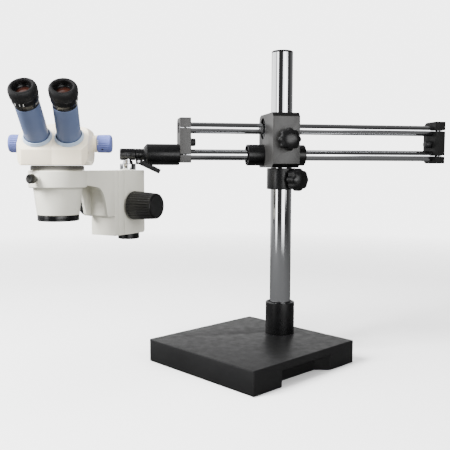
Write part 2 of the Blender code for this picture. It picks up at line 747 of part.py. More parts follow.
def build_focus_rack():
    """The rack, with its teeth on the pinion's pitch line."""
    pitch = 2 * math.pi * PINION_PITCH_R / PINION_TEETH
    pitch_x = PINION_X + PINION_PITCH_R
    tip_x = pitch_x - 0.9
    root_x = pitch_x + 1.4
    back_x = TAIL_BACK - GAP
    low, high = PINION_Z - RACK_HALF, PINION_Z + RACK_HALF
    outline = [(back_x, low), (root_x, low)]
    for tooth in range(-5, 6):
        z = PINION_Z + tooth * pitch
        outline += [(root_x, z - 1.5), (tip_x, z - 0.55), (tip_x, z + 0.55), (root_x, z + 1.5)]
    outline += [(root_x, high), (back_x, high)]
    slab("focus_rack", outline, -5, 5, FOCUS_SIDE, "focus_slide", "brass")


def build_focus_arm():
    """The hollow arm from the slide plate and the ring that holds the head."""
    owner = "focus_slide"
    arm_x = PLATE_FRONT + GAP
    outline = [  # x, z
        (arm_x, 261), (87, 261), (89.3, 264), (92, 277), (95.5, 291), (99, 299),
        (104, 305.5), (111, 310), (127, 313), (144, 315), (144, 337.6), (arm_x, 337.6),
    ]
    arm = slab("focus_arm", outline, -MOUNT_HALF, MOUNT_HALF, FOCUS_SIDE, owner, "light_grey")
    hollow_outline = [  # x, z
        (76, 250), (150, 250), (150, 331.5), (104, 331.5),
        (92, 328), (83, 319), (77.5, 306), (76, 290),
    ]
    half = MOUNT_HALF - 5
    hollow = slab("arm_hollow", hollow_outline, -half, half, FOCUS_SIDE, owner)
    cut(arm, hollow, "MANIFOLD")

    ring = [
        (0, RING_BOTTOM), (RING_R - 1, RING_BOTTOM), (RING_R, RING_BOTTOM + 1),
        (RING_R, MOUNT_TOP - 0.9), (RING_R - 1, MOUNT_TOP), (0, MOUNT_TOP),
    ]
    join(arm, turned("ring_solid", ring, 24, RING, owner), "MANIFOLD")
    join(arm, rod("thumb_boss", 6.5, 40, 46, THUMB, owner), "MANIFOLD")
    cut(arm, rod("head_bore", RING_BORE_R, 300, 350, RING, owner, sides=24), "MANIFOLD")
    cut(arm, rod("thumb_hole", 3.4, 30, 60, THUMB, owner, sides=12), "MANIFOLD")


def build_thumb_screw():
    profile = [
        (0, 38.4), (3, 38.4), (3, 47.5), (4.5, 47.5), (4.5, 51),
        (6.4, 51), (7.1, 51.7), (7.1, 59.2), (6.4, 60), (0, 60),
    ]
    turned("ring_thumb_screw", profile, 16, THUMB, "thumb_axis", "steel")


# ---------------------------------------------------------------- pinion and knobs
def build_pinion():
    profile = mirrored([
        (0, -60), (SHAFT_R, -60), (SHAFT_R, -29.4),
        (8.5, -29.4), (8.5, -26.6), (SHAFT_R, -26.6),
    ])
    shaft = turned("pinion_shaft", profile, 16, PINION, "pinion_axis", "steel")
    teeth = []
    for tooth in range(PINION_TEETH):
        middle = 2 * math.pi * (tooth + 0.5) / PINION_TEETH  # a gap meets a rack tooth
        # angle from the tooth's middle, radius
        for turn, radius in ((-0.21, 6.1), (-0.085, 8.3), (0.085, 8.3), (0.21, 6.1)):
            angle = middle + turn
            teeth.append((radius * math.cos(angle), radius * math.sin(angle)))
    join(shaft, slab("gear", teeth, -6, 6, PINION, "pinion_axis"))


def build_focus_knob(side, hand):
    outward = aimed(FOCUS, (PINION_X, 0, PINION_Z), (0, side, 0), (1, 0, 0))
    bore_r = SHAFT_R + GAP
    profile = [
        (bore_r, 29.8), (23.4, 29.8), (25, 31.4), (21.9, 77.5),
        (20.4, 79.5), (0, 79.5), (0, 62), (bore_r, 62),
    ]
    turned("focus_knob_" + hand, profile, 24, outward, "pinion_axis", "knob_black")


# ---------------------------------------------------------------- head
def build_head_body():
    flange_low = MOUNT_TOP + 0.4
    flange_high = HEAD_BOTTOM - GAP
    profile = [
        (28.6, 269.4), (32.4, 269.4), (37.4, 310.6), (37.4, flange_low),
        (41, flange_low), (41, flange_high), (28.6, flange_high),
    ]
    turned("head_body", profile, 24, HEAD, "head", "light_grey")


def build_objective():
    bezel = [
        (25.4, 263.4), (27.9, 260.4), (31, 260.4), (32, 261.4),
        (32, 269), (28.2, 269), (28.2, 278.4), (25.4, 278.4),
    ]
    turned("objective_bezel", bezel, 24, HEAD, "head", "eyepiece_black")
    lens = [(0, 264.6), (14, 265.3), (25, 267.4), (25, 271.4), (0, 273.4)]
    turned("objective_lens", lens, 16, HEAD, "head", "glass")


def build_zoom_carriage():
    plate = rod("zoom_carriage", 26, 300, 306, HEAD, "zoom_travel", "brass")
    for side, hand in SIDES:
        cell = shifted(HEAD, side * 11.5, 0, 0)
        cut(plate, rod("cell_hole_" + hand, 8.4, 290, 320, cell, "zoom_travel", sides=20))


# Right half of the head's housing: plan (x, y), front view (x, z) and side view (y, z).
HOUSING_VIEWS = (
    [(0.15, -44), (44.5, -44), (52.5, -36), (52.5, 36), (42.5, 46), (0.15, 46)],
    [
        (0.15, HEAD_BOTTOM), (47, HEAD_BOTTOM), (51, 352), (52.5, 362),
        (52.5, 391), (50.5, 399), (45.3, 404.2), (0.15, 410.5),
    ],
    [
        (-44, HEAD_BOTTOM), (46, HEAD_BOTTOM), (46, 390),
        (24, 410.5), (-3, 410.5), (-44, 369.5),
    ],
)
# The space inside it, in the same three views; it runs past the middle.
HOLLOW_FLOOR = 349.3
HOLLOW_VIEWS = (
    [(-3, -41), (43.2, -41), (49.5, -34.7), (49.5, 34.7), (41.2, 43), (-3, 43)],
    [
        (-3, HOLLOW_FLOOR), (45.6, HOLLOW_FLOOR), (48.2, 353.4), (49.5, 362.5),
        (49.5, 390), (48, 396.8), (43.6, 401.2), (-3, 407.4),
    ],
    [
        (-41, HOLLOW_FLOOR), (43, HOLLOW_FLOOR), (43, 388.5),
        (22.8, 407.4), (-1.6, 407.4), (-41, 368),
    ],
)


def handed(points, side):
    """Points of the right half, or their mirror image for the left."""
    return points if side > 0 else [(-x, y) for x, y in reversed(points)]


def shell(name, side, views, reach, finish=None):
    """The space that three views have in common; reach is how far it may pass the middle."""
    plan, front, profile = views
    solid = slab(name, handed(plan, side), 340, 415, HEAD, "head", finish)
    fronts = slab(name + "_front", handed(front, side), -50, 50, HEAD @ DRAW_XZ, "head")
    low, high = sorted((side * -reach, side * 65))
    sides = slab(name + "_side", profile, low, high, HEAD @ DRAW_YZ, "head")
    boolean(solid, fronts, "INTERSECT")
    boolean(solid, sides, "INTERSECT")
    return solid


def build_housing_half(side, hand):
    """Half of the head's housing with its zoom shoulder, tube flange and prism."""
    housing = shell("housing_" + hand, side, HOUSING_VIEWS, 0, "cream")
    cut(housing, shell("hollow_" + hand, side, HOLLOW_VIEWS, 8), "MANIFOLD")
    outward = zoom_frame(side)
    join(housing, rod("zoom_shoulder_" + hand, 13.4, 43.4, 57.9, outward, "head"), "MANIFOLD")
    cut(housing, rod("zoom_hole_" + hand, 4.7, 38, 65, outward, "head"), "MANIFOLD")
    light_hole = rod("light_hole_" + hand, 29, 340, 352, HEAD, "head", sides=20)
    cut(housing, light_hole, "MANIFOLD")
    lean = (0, -math.sin(TUBE_LEAN), math.cos(TUBE_LEAN))
    up_slope = aimed(HEAD, (side * TUBE_X, TUBE_Y, TUBE_Z), lean, (1, 0, 0))
    tube_hole = rod("tube_hole_" + hand, 17.2, -9, 9, up_slope, "head", sides=20)
    cut(housing, tube_hole, "MANIFOLD")

    flange = [(19.3, 0.35), (22, 0.35), (22, 1.6), (20.5, 5.6), (19.3, 5.6)]
    turned("flange_" + hand, flange, 20, up_slope, "head", "ring_blue")
    block(
        "prism_" + hand,
        (side * 24 - 9, -24, 350.5),
        (side * 24 + 9, -5, 364),
        HEAD, "head", "glass", soften=0.6,
    )


# Pieces along each eye tube: body, name, sides, finish, (radius, height) profile.
EYE_PIECES = (
    ("tube_pivot_", "eyetube_", 20, "tube_blue", [
        (11, -7), (14, -7), (14, 3), (TUBE_R, 3),
        (TUBE_R, 64.4), (15.4, 64.4), (15.4, 26), (11, 24),
    ]),
    ("dioptre_axis_", "eyepiece_", 20, "eyepiece_black", [
        (12.6, 28), (15, 28), (15, 64.7), (17.9, 64.7), (18.2, 69),
        (19.5, 74), (19.5, 80), (18.2, 81.6), (18.2, 90.6), (12.6, 90.6),
    ]),
    ("dioptre_axis_", "eyecup_", 24, "rubber", [
        (18.5, 82), (20.7, 82), (21, 88.5), (20.4, 93), (18.6, 96.2),
        (16.4, 97.5), (14.6, 97), (13.6, 95.4), (13.6, 91), (18.5, 91),
    ]),
    ("dioptre_axis_", "eye_lens_", 20, "glass", [
        (0, 82), (12.2, 82.6), (12.2, 86), (7, 87.6), (0, 88.2),
    ]),
)


def build_eye_tube(side, hand):
    tube = tube_frame(side)
    for owner, name, sides, finish, profile in EYE_PIECES:
        turned(name + hand, profile, sides, tube, owner + hand, finish)


def build_zoom_knob(side, hand):
    profile = [
        (4.3, 58.3), (13.4, 58.3), (14.1, 59.1), (14.4, 76.6), (13.4, 79.7),
        (11.4, 81), (0, 81), (0, 76.5), (4.3, 76.5),
    ]
    turned("zoom_knob_" + hand, profile, 16, zoom_frame(side), "zoom_axis", "knob_blue")


# ---------------------------------------------------------------- assembly
build_base_plate()
build_base_socket()
build_pillar()
build_pillar_bolt()
build_stop_collar()
build_carriage_block()
build_lock_knobs()
build_rail_bearings()
build_rails()
build_bracket("left", RAIL_LEFT, inward=1, bumper_end=10.5)
build_bracket("right", RAIL_RIGHT - BRACKET_THICK, inward=-1, bumper_end=14)
build_arm_barrel()
build_clamp_lever()
build_knuckle()
build_mount_pin()
build_focus_housing()
build_dovetail_guide()
build_pin_cap()
build_slide_plate()
build_focus_rack()
build_focus_arm()
build_thumb_screw()
build_pinion()
for side, hand in SIDES:
    build_focus_knob(side, hand)
build_head_body()
build_objective()
build_zoom_carriage()
for side, hand in SIDES:
    build_housing_half(side, hand)
for side, hand in SIDES:
    build_eye_tube(side, hand)
rod("zoom_shaft", 4, -75.5, 75.5, zoom_frame(1), "zoom_axis", "steel")
for side, hand in SIDES:
    build_zoom_knob(side, hand)
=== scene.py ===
"""Visual model of the stereo microscope on its double-arm boom stand."""

import json
import math

import bmesh
import bpy
from mathutils import Matrix, Quaternion, Vector

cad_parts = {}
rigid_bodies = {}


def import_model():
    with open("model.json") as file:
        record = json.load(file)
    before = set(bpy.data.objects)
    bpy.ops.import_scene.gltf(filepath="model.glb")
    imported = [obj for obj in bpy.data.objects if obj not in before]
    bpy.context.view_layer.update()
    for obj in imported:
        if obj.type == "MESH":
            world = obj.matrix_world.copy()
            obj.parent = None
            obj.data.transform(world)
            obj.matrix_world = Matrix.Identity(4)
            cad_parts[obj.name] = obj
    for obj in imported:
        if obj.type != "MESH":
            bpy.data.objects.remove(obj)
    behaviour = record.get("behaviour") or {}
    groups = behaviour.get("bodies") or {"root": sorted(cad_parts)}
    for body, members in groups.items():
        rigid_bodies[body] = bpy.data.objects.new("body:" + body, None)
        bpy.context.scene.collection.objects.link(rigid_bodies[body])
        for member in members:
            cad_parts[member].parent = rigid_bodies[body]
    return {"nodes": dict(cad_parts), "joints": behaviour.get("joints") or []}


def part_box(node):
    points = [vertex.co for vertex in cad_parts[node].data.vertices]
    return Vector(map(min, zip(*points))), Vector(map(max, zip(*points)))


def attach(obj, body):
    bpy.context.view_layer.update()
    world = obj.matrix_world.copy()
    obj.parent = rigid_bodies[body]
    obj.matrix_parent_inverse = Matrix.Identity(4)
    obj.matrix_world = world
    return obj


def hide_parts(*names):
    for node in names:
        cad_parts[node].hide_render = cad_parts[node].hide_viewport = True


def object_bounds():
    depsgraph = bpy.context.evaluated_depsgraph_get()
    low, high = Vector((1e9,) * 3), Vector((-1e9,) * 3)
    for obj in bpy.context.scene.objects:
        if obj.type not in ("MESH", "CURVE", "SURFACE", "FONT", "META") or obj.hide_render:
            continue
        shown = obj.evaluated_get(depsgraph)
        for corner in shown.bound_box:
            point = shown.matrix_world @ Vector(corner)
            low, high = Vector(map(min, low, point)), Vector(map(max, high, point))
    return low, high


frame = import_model()
size_before = [list(corner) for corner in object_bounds()]

MM = 0.001
scene = bpy.context.scene
for leftover in list(bpy.data.objects):
    if leftover.type in ("CAMERA", "LIGHT") or leftover.name == "Cube":
        bpy.data.objects.remove(leftover, do_unlink=True)

# ------------------------------------------------------------------ frames
JOINTS = {j["name"]: j for j in frame["joints"]}


def place_of(name):
    return Vector(JOINTS[name]["pos_m"])


def axis_of(name):
    return Vector(JOINTS[name]["axis"]).normalized()


def flat_frame(point, x_axis):
    """Origin under the point at z 0, Z up, X along the axis."""
    x = Vector((x_axis.x, x_axis.y, 0)).normalized()
    y = Vector((0, 0, 1)).cross(x)
    turn = Matrix((x, y, Vector((0, 0, 1)))).transposed().to_4x4()
    return Matrix.Translation((point.x, point.y, 0)) @ turn


def aimed(origin, direction, side=(0, 0, 1)):
    """A frame whose Z runs along direction, with X as near side as it can be."""
    z = Vector(direction).normalized()
    x = Vector(side) - z * Vector(side).dot(z)
    if x.length < 1e-6:
        x = Vector((1, 0, 0)) - z * z.x
    x.normalize()
    y = z.cross(x)
    turn = Matrix((x, y, z)).transposed().to_4x4()
    return Matrix.Translation(origin) @ turn


shift = Matrix.Translation
BASE = Matrix.Identity(4)
BOOM = flat_frame(place_of("boom_swivel"), axis_of("boom_slide"))
AT_PILLAR = shift((place_of("boom_swivel").x, place_of("boom_swivel").y, 0))
COLLAR = flat_frame(place_of("boom_swivel"), axis_of("collar_knob_turn"))
FOCUS = flat_frame(place_of("pin_swivel"), axis_of("thumb_screw_turn"))
HEAD = flat_frame(place_of("head_turn"), axis_of("zoom_turn"))


def tube_frame(hand):
    return aimed(place_of("tube_swing_" + hand), axis_of("dioptre_turn_" + hand), HEAD.to_3x3().col[0])


def mm(points):
    return [(x * MM, y * MM) for x, y in points]


# ------------------------------------------------------------------ sizes, mm
base_low, base_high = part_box("base_plate")
BASE_SIDE = (base_high.x - base_low.x) / MM
BASE_HEIGHT = base_high.z / MM
RAIL_Y = (BOOM.inverted() @ place_of("arm_roll")).y / MM
LOWER_Z = place_of("arm_roll").z / MM
UPPER_Z = LOWER_Z + 48.5
RAIL_LEFT, RAIL_RIGHT = -181.0, 334.0
PIN_T = (BOOM.inverted() @ place_of("pin_swivel")).x / MM
LEVER_T = (BOOM.inverted() @ place_of("clamp_lever_turn")).x / MM
LEVER_Z = place_of("clamp_lever_turn").z / MM
RING_X = (FOCUS.inverted() @ place_of("head_turn")).x / MM
THUMB_Z = place_of("thumb_screw_turn").z / MM
pinion_spot = FOCUS.inverted() @ place_of("focus_knob_turn")
PINION_X, PINION_Z = pinion_spot.x / MM, place_of("focus_knob_turn").z / MM
zoom_spot = HEAD.inverted() @ place_of("zoom_turn")
ZOOM_Y, ZOOM_Z = zoom_spot.y / MM, zoom_spot.z / MM
tube_spot = HEAD.inverted() @ place_of("tube_swing_right")
TUBE_X, TUBE_Y, TUBE_Z = tube_spot.x / MM, tube_spot.y / MM, tube_spot.z / MM
COLLAR_KNOB_Z = place_of("collar_knob_turn").z / MM
PILLAR_LOCK_Z = place_of("pillar_lock_turn").z / MM


# ------------------------------------------------------------------ materials
class Nodes:
    """Short ways to add shader nodes to one material."""

    def __init__(self, name, own_frame=True):
        self.material = bpy.data.materials.new(name)
        self.material.use_nodes = True
        self.tree = self.material.node_tree
        self.shader = self.tree.nodes["Principled BSDF"]
        if own_frame:
            coords = self.tree.nodes.new("ShaderNodeAttribute")
            coords.attribute_name = "own_place"
            self.place = coords.outputs["Vector"]
        else:
            self.place = self.tree.nodes.new("ShaderNodeTexCoord").outputs["Object"]

    def link(self, a, b):
        self.tree.links.new(a, b)

    def noise(self, scale, detail=2.0, rough=0.5, stretch=None, place=None):
        node = self.tree.nodes.new("ShaderNodeTexNoise")
        node.inputs["Scale"].default_value = scale
        node.inputs["Detail"].default_value = detail
        node.inputs["Roughness"].default_value = rough
        source = place or self.place
        if stretch:
            mapping = self.tree.nodes.new("ShaderNodeMapping")
            mapping.inputs["Scale"].default_value = stretch
            self.link(source, mapping.inputs["Vector"])
            source = mapping.outputs["Vector"]
        self.link(source, node.inputs["Vector"])
        return node.outputs["Fac"]

    def remap(self, value, low, high, to_low, to_high):
        node = self.tree.nodes.new("ShaderNodeMapRange")
        node.inputs["From Min"].default_value = low
        node.inputs["From Max"].default_value = high
        node.inputs["To Min"].default_value = to_low
        node.inputs["To Max"].default_value = to_high
        self.link(value, node.inputs["Value"])
        return node.outputs["Result"]

    def math(self, kind, a, b=None, clamp=False):
        node = self.tree.nodes.new("ShaderNodeMath")
        node.operation = kind
        node.use_clamp = clamp
        for i, value in enumerate((a, b)):
            if value is None:
                continue
            if isinstance(value, (int, float)):
                node.inputs[i].default_value = value
            else:
                self.link(value, node.inputs[i])
        return node.outputs[0]

    def mix(self, factor, a, b):
        node = self.tree.nodes.new("ShaderNodeMix")
        node.data_type = "RGBA"
        slots = {"Factor": node.inputs[0], "A": node.inputs[6], "B": node.inputs[7]}
        for key, value in (("Factor", factor), ("A", a), ("B", b)):
            if isinstance(value, (int, float)):
                slots[key].default_value = value
            elif isinstance(value, tuple):
                slots[key].default_value = (*value, 1.0)
            else:
                self.link(value, slots[key])
        return node.outputs[2]

    def edges(self, radius):
        """1 on sharp edges and 0 on flat faces."""
        bevel = self.tree.nodes.new("ShaderNodeBevel")
        bevel.samples = 4
        bevel.inputs["Radius"].default_value = radius
        geometry = self.tree.nodes.new("ShaderNodeNewGeometry")
        dot = self.tree.nodes.new("ShaderNodeVectorMath")
        dot.operation = "DOT_PRODUCT"
        self.link(bevel.outputs["Normal"], dot.inputs[0])
        self.link(geometry.outputs["Normal"], dot.inputs[1])
        return self.remap(dot.outputs["Value"], 0.995, 0.90, 0.0, 1.0)

    def bump(self, height, distance, strength=1.0, under=None):
        node = self.tree.nodes.new("ShaderNodeBump")
        node.inputs["Distance"].default_value = distance
        node.inputs["Strength"].default_value = strength
        self.link(height, node.inputs["Height"])
        if under is not None:
            self.link(under, node.inputs["Normal"])
        return node.outputs["Normal"]


def coated(
    name,
    colour,
    rough,
    metal=0.0,
    vary=0.12,
    cap_shade_colour=None,
    patch=14.0,
    grain=900.0,
    depth=0.00003,
    rough_vary=0.08,
    edge=None,
    edge_share=0.35,
    edge_radius=0.0006,
    turned=0.0,
    clear=0.0,
    orange=0.0,
    specular=0.5,
    own_frame=True,
):
    """A paint, moulding or metal: colour patches, roughness patches, surface grain, rubbed edges and painted shade on
    faces that point up or down.
    """
    n = Nodes(name, own_frame)
    n.shader.inputs["Specular IOR Level"].default_value = specular
    dark = tuple(c * (1 - vary) for c in colour)
    light = tuple(min(1.0, c * (1 + vary)) for c in colour)
    broad = n.noise(patch, 4.0, 0.6)
    tint = n.mix(n.remap(broad, 0.3, 0.7, 0, 1), dark, light)
    fine = n.noise(grain, 3.0, 0.6)
    tint = n.mix(n.remap(fine, 0.45, 0.8, 0.0, 0.35), tint, light)
    smear = n.noise(patch * 5, 5.0, 0.65)
    rough_value = n.remap(smear, 0.3, 0.7, max(0.02, rough - rough_vary), rough + rough_vary)
    if edge is not None:
        worn = n.math("MULTIPLY", n.edges(edge_radius), n.remap(n.noise(160.0, 4.0, 0.7), 0.35, 0.65, 0.25, 1.0))
        worn = n.math("MULTIPLY", worn, edge_share, clamp=True)
        tint = n.mix(worn, tint, edge)
        rough_value = n.math("MULTIPLY", rough_value, n.remap(worn, 0, 1, 1.0, 0.75))
    # Painted shade: faces that point up or down, such as tops and chamfers, are mixed towards a darker colour that
    # stands in for the shade and dark reflection they get from the lights.
    if cap_shade_colour is not None:
        place = n.tree.nodes.new("ShaderNodeTexCoord")
        split = n.tree.nodes.new("ShaderNodeSeparateXYZ")
        n.link(place.outputs["Normal"], split.inputs[0])
        cap_shade_mask = n.math("MULTIPLY", split.outputs["Z"], split.outputs["Z"])
        tint = n.mix(n.remap(cap_shade_mask, 0.1, 0.25, 0.0, 1.0), tint, cap_shade_colour)
    n.link(tint, n.shader.inputs["Base Color"])
    n.link(rough_value, n.shader.inputs["Roughness"])
    n.shader.inputs["Metallic"].default_value = metal
    normal = n.bump(fine, depth)
    if orange:
        normal = n.bump(n.noise(260.0, 1.0, 0.4), orange, 1.0, normal)
    if turned:
        normal = n.bump(n.noise(1.0, 2.0, 0.5, stretch=(6, 6, 2600)), turned, 1.0, normal)
    n.link(normal, n.shader.inputs["Normal"])
    if clear:
        n.shader.inputs["Coat Weight"].default_value = clear
        n.shader.inputs["Coat Roughness"].default_value = 0.12
    n.material.diffuse_color = (*colour, 1.0)
    return n.material


def optical(name, tint, coating, metal=0.55, own_frame=True):
    """Coated optical glass over a dark inside: strong clear reflections with a coloured coating."""
    n = Nodes(name, own_frame)
    facing = n.tree.nodes.new("ShaderNodeLayerWeight")
    facing.inputs["Blend"].default_value = 0.45
    smudge = n.noise(90.0, 4.0, 0.6)
    film = n.mix(facing.outputs["Facing"], coating, tint)
    film = n.mix(n.remap(smudge, 0.35, 0.65, 0.0, 0.25), film, tint)
    n.link(film, n.shader.inputs["Base Color"])
    n.link(n.remap(smudge, 0.3, 0.7, 0.03, 0.09), n.shader.inputs["Roughness"])
    n.shader.inputs["Metallic"].default_value = metal
    n.shader.inputs["Coat Weight"].default_value = 1.0
    n.shader.inputs["Coat Roughness"].default_value = 0.02
    n.link(n.bump(n.noise(30.0, 2.0, 0.5), 0.00002), n.shader.inputs["Normal"])
    n.material.diffuse_color = (*tint, 1.0)
    return n.material


LOOKS = {
    "stand_black": coated(
        "stand_black", (0.0030, 0.0030, 0.0032), 0.30, specular=0.38, vary=0.2, grain=2600.0, depth=0.00004,
        edge=(0.03, 0.03, 0.03), edge_share=0.4, orange=0.00002,
    ),
    "base_black": coated(
        "base_black", (0.0050, 0.0050, 0.0052), 0.38, vary=0.2, grain=2000.0, depth=0.00006,
        edge=(0.04, 0.04, 0.04), edge_share=0.5, edge_radius=0.0008, orange=0.00003,
    ),
    # Painted shade: a darker, less reflective copy of the casting finish, used on the right bracket only, standing in
    # for the shade and missing reflection on its front.
    "casting_shaded_copy": coated(
        "casting_shaded_copy", (0.0035, 0.0035, 0.0035), 0.50, specular=0.12, vary=0.15, grain=1900.0, depth=0.00005,
    ),
    # casting_grey carries near-black painted shade on its faces that point up or down.
    "casting_grey": coated(
        "casting_grey", (0.024, 0.0235, 0.023), 0.38, vary=0.08, cap_shade_colour=(0.003, 0.003, 0.003), grain=1900.0, depth=0.00005, rough_vary=0.02,
        edge=(0.03, 0.03, 0.03), edge_share=0.35, orange=0.00002,
    ),
    "knob_black": coated(
        "knob_black", (0.0030, 0.0030, 0.0032), 0.33, vary=0.15, grain=1500.0, depth=0.00003,
        edge=(0.02, 0.02, 0.02), edge_share=0.35,
    ),
    "chrome": coated(
        "chrome", (0.80, 0.81, 0.83), 0.07, metal=1.0, vary=0.02, grain=700.0, depth=0.000002,
        rough_vary=0.03, patch=9.0,
    ),
    "steel": coated(
        "steel", (0.56, 0.56, 0.57), 0.28, metal=1.0, vary=0.1, grain=1500.0, depth=0.00001,
        turned=0.000006, edge=(0.8, 0.8, 0.8), edge_share=0.5, edge_radius=0.0003,
    ),
    "brass": coated(
        "brass", (0.70, 0.50, 0.20), 0.30, metal=1.0, vary=0.12, grain=1500.0, depth=0.00001,
        turned=0.000006, edge=(0.9, 0.75, 0.42), edge_share=0.5, edge_radius=0.0003,
    ),
    "rubber": coated(
        "rubber", (0.007, 0.007, 0.0073), 0.55, vary=0.2, grain=1300.0, depth=0.00005,
        edge=(0.02, 0.02, 0.02), edge_share=0.3,
    ),
    "light_grey": coated(
        "light_grey", (0.66, 0.645, 0.565), 0.34, vary=0.03, grain=1500.0, depth=0.00002,
        edge=(0.78, 0.77, 0.72), edge_share=0.45, orange=0.00003, clear=0.15,
    ),
    "cream": coated(
        "cream", (0.86, 0.770, 0.600), 0.33, vary=0.025, grain=1500.0, depth=0.00002,
        edge=(0.85, 0.80, 0.72), edge_share=0.4, orange=0.00003, clear=0.15,
    ),
    "tube_blue": coated(
        "tube_blue", (0.105, 0.138, 0.240), 0.50, specular=0.35, vary=0.06, grain=1900.0, depth=0.00003,
        edge=(0.25, 0.31, 0.42), edge_share=0.4, orange=0.00002,
    ),
    "ring_blue": coated(
        "ring_blue", (0.34, 0.43, 0.56), 0.30, vary=0.05, grain=1500.0, depth=0.00002,
        edge=(0.6, 0.68, 0.78), edge_share=0.5, edge_radius=0.0004,
    ),
    "knob_blue": coated(
        "knob_blue", (0.108, 0.135, 0.36), 0.45, vary=0.07, grain=1500.0, depth=0.00003,
        edge=(0.45, 0.5, 0.8), edge_share=0.45, edge_radius=0.0004,
    ),
    "eyepiece_black": coated(
        "eyepiece_black", (0.0032, 0.0032, 0.0035), 0.28, vary=0.15, grain=1700.0, depth=0.00002,
        edge=(0.03, 0.03, 0.03), edge_share=0.4, edge_radius=0.0004, turned=0.000004,
    ),
    # Painted shade: a dark grey for the neck band between the housing and the ring, standing in for the shadow that
    # falls there.
    "neck_shade_grey": coated(
        "neck_shade_grey", (0.09, 0.087, 0.076), 0.5, vary=0.06, grain=1500.0, depth=0.00002,
        edge=(0.4, 0.39, 0.36), edge_share=0.4,
    ),
    "thumb_steel": coated(
        "thumb_steel", (0.075, 0.075, 0.072), 0.34, metal=1.0, vary=0.1, grain=1500.0, depth=0.00001,
        turned=0.000006, edge=(0.5, 0.5, 0.5), edge_share=0.4, edge_radius=0.0003,
    ),
    "lever_black": coated(
        "lever_black", (0.0035, 0.0035, 0.0037), 0.55, vary=0.2, grain=2200.0, depth=0.00004,
        edge=(0.02, 0.02, 0.02), edge_share=0.4, specular=0.3,
    ),
    "dark_steel": coated(
        "dark_steel", (0.03, 0.03, 0.032), 0.35, metal=0.6, vary=0.15, grain=1500.0, depth=0.00001,
        edge=(0.12, 0.12, 0.12), edge_share=0.5, edge_radius=0.0003,
    ),
    "set_black": coated(
        "set_black", (0.01, 0.01, 0.012), 0.4, vary=0.15, grain=1500.0, depth=0.00001,
    ),
    "knob_mark": coated(
        "knob_mark", (0.75, 0.75, 0.73), 0.45, vary=0.06, grain=1500.0, depth=0.00002,
    ),
    "mark_white": coated(
        "mark_white", (0.75, 0.75, 0.73), 0.45, vary=0.06, grain=1500.0, depth=0.00002,
    ),
    "seal_black": coated(
        "seal_black", (0.003, 0.003, 0.003), 0.5, vary=0.2, grain=1500.0, depth=0.00003,
    ),
    "glass": optical("glass", (0.003, 0.003, 0.004), (0.035, 0.009, 0.004), 0.0),
}
INSIDE = {
    "steel": coated(
        "steel_inside", (0.56, 0.56, 0.57), 0.28, metal=1.0, vary=0.1, grain=1500.0, depth=0.00001,
        edge=(0.8, 0.8, 0.8), edge_share=0.5, edge_radius=0.0003, own_frame=False,
    ),
    "brass": coated(
        "brass_inside", (0.70, 0.50, 0.20), 0.30, metal=1.0, vary=0.12, grain=1500.0, depth=0.00001,
        edge=(0.9, 0.75, 0.42), edge_share=0.5, edge_radius=0.0003, own_frame=False,
    ),
    "glass": optical("glass_inside", (0.30, 0.33, 0.36), (0.25, 0.20, 0.30), own_frame=False),
}


# ------------------------------------------------------------------ shapes
def arc_corner(before, here, after, radius, steps=5):
    """Points that round the corner here between its two neighbours."""
    a, p, b = Vector(before), Vector(here), Vector(after)
    u, v = a - p, b - p
    lu, lv = u.length, v.length
    if lu < 1e-9 or lv < 1e-9 or radius <= 0:
        return [tuple(here)]
    u /= lu
    v /= lv
    angle = math.acos(max(-1.0, min(1.0, u.dot(v))))
    if angle > math.radians(172) or angle < math.radians(5):
        return [tuple(here)]
    reach = min(radius / math.tan(angle / 2), 0.45 * lu, 0.45 * lv)
    r = reach * math.tan(angle / 2)
    centre = p + (u + v).normalized() * (r / math.sin(angle / 2))
    start, end = p + u * reach, p + v * reach
    sa = math.atan2(start.y - centre.y, start.x - centre.x)
    ea = math.atan2(end.y - centre.y, end.x - centre.x)
    turn = ea - sa
    while turn > math.pi:
        turn -= 2 * math.pi
    while turn < -math.pi:
        turn += 2 * math.pi
    return [
        (centre.x + r * math.cos(sa + turn * i / steps), centre.y + r * math.sin(sa + turn * i / steps))
        for i in range(steps + 1)
    ]


def softened(points, radius, steps=5, closed=True):
    """An outline with every corner rounded by radius, or by radius[i]."""
    out = []
    count = len(points)
    for i, p in enumerate(points):
        r = radius[i] if isinstance(radius, (list, tuple)) else radius
        if not closed and i in (0, count - 1):
            out.append(tuple(p))
            continue
        out += arc_corner(points[i - 1], p, points[(i + 1) % count], r, steps)
    return out


def finish(name, bm, place, look=None, body=None, nodes=(), sharp=35):
    """Turns a mesh in a frame's coordinates into a piece."""
    bmesh.ops.recalc_face_normals(bm, faces=bm.faces[:])
    mesh = bpy.data.meshes.new(name)
    bm.to_mesh(mesh)
    bm.free()
    mesh.shade_smooth()
    mesh.set_sharp_from_angle(angle=math.radians(sharp))
    obj = bpy.data.objects.new(name, mesh)
    scene.collection.objects.link(obj)
    obj.matrix_world = place
    if look:
        dress(obj, look, body, nodes)
    else:
        obj.hide_render = True
        obj.hide_viewport = True
    return obj


def dress(obj, look, body, nodes=()):
    """Puts the mesh in the row frame, keeping each point's place in the piece's own frame for the textures."""
    mesh = obj.data
    kept = mesh.attributes.get("own_place") or mesh.attributes.new("own_place", "FLOAT_VECTOR", "POINT")
    flat = [c for v in mesh.vertices for c in v.co]
    kept.data.foreach_set("vector", flat)
    mesh.transform(obj.matrix_world)
    obj.matrix_world = Matrix.Identity(4)
    obj.data.materials.clear()
    obj.data.materials.append(LOOKS[look])
    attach(obj, body)
    if nodes:
        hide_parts(*nodes)
    return obj


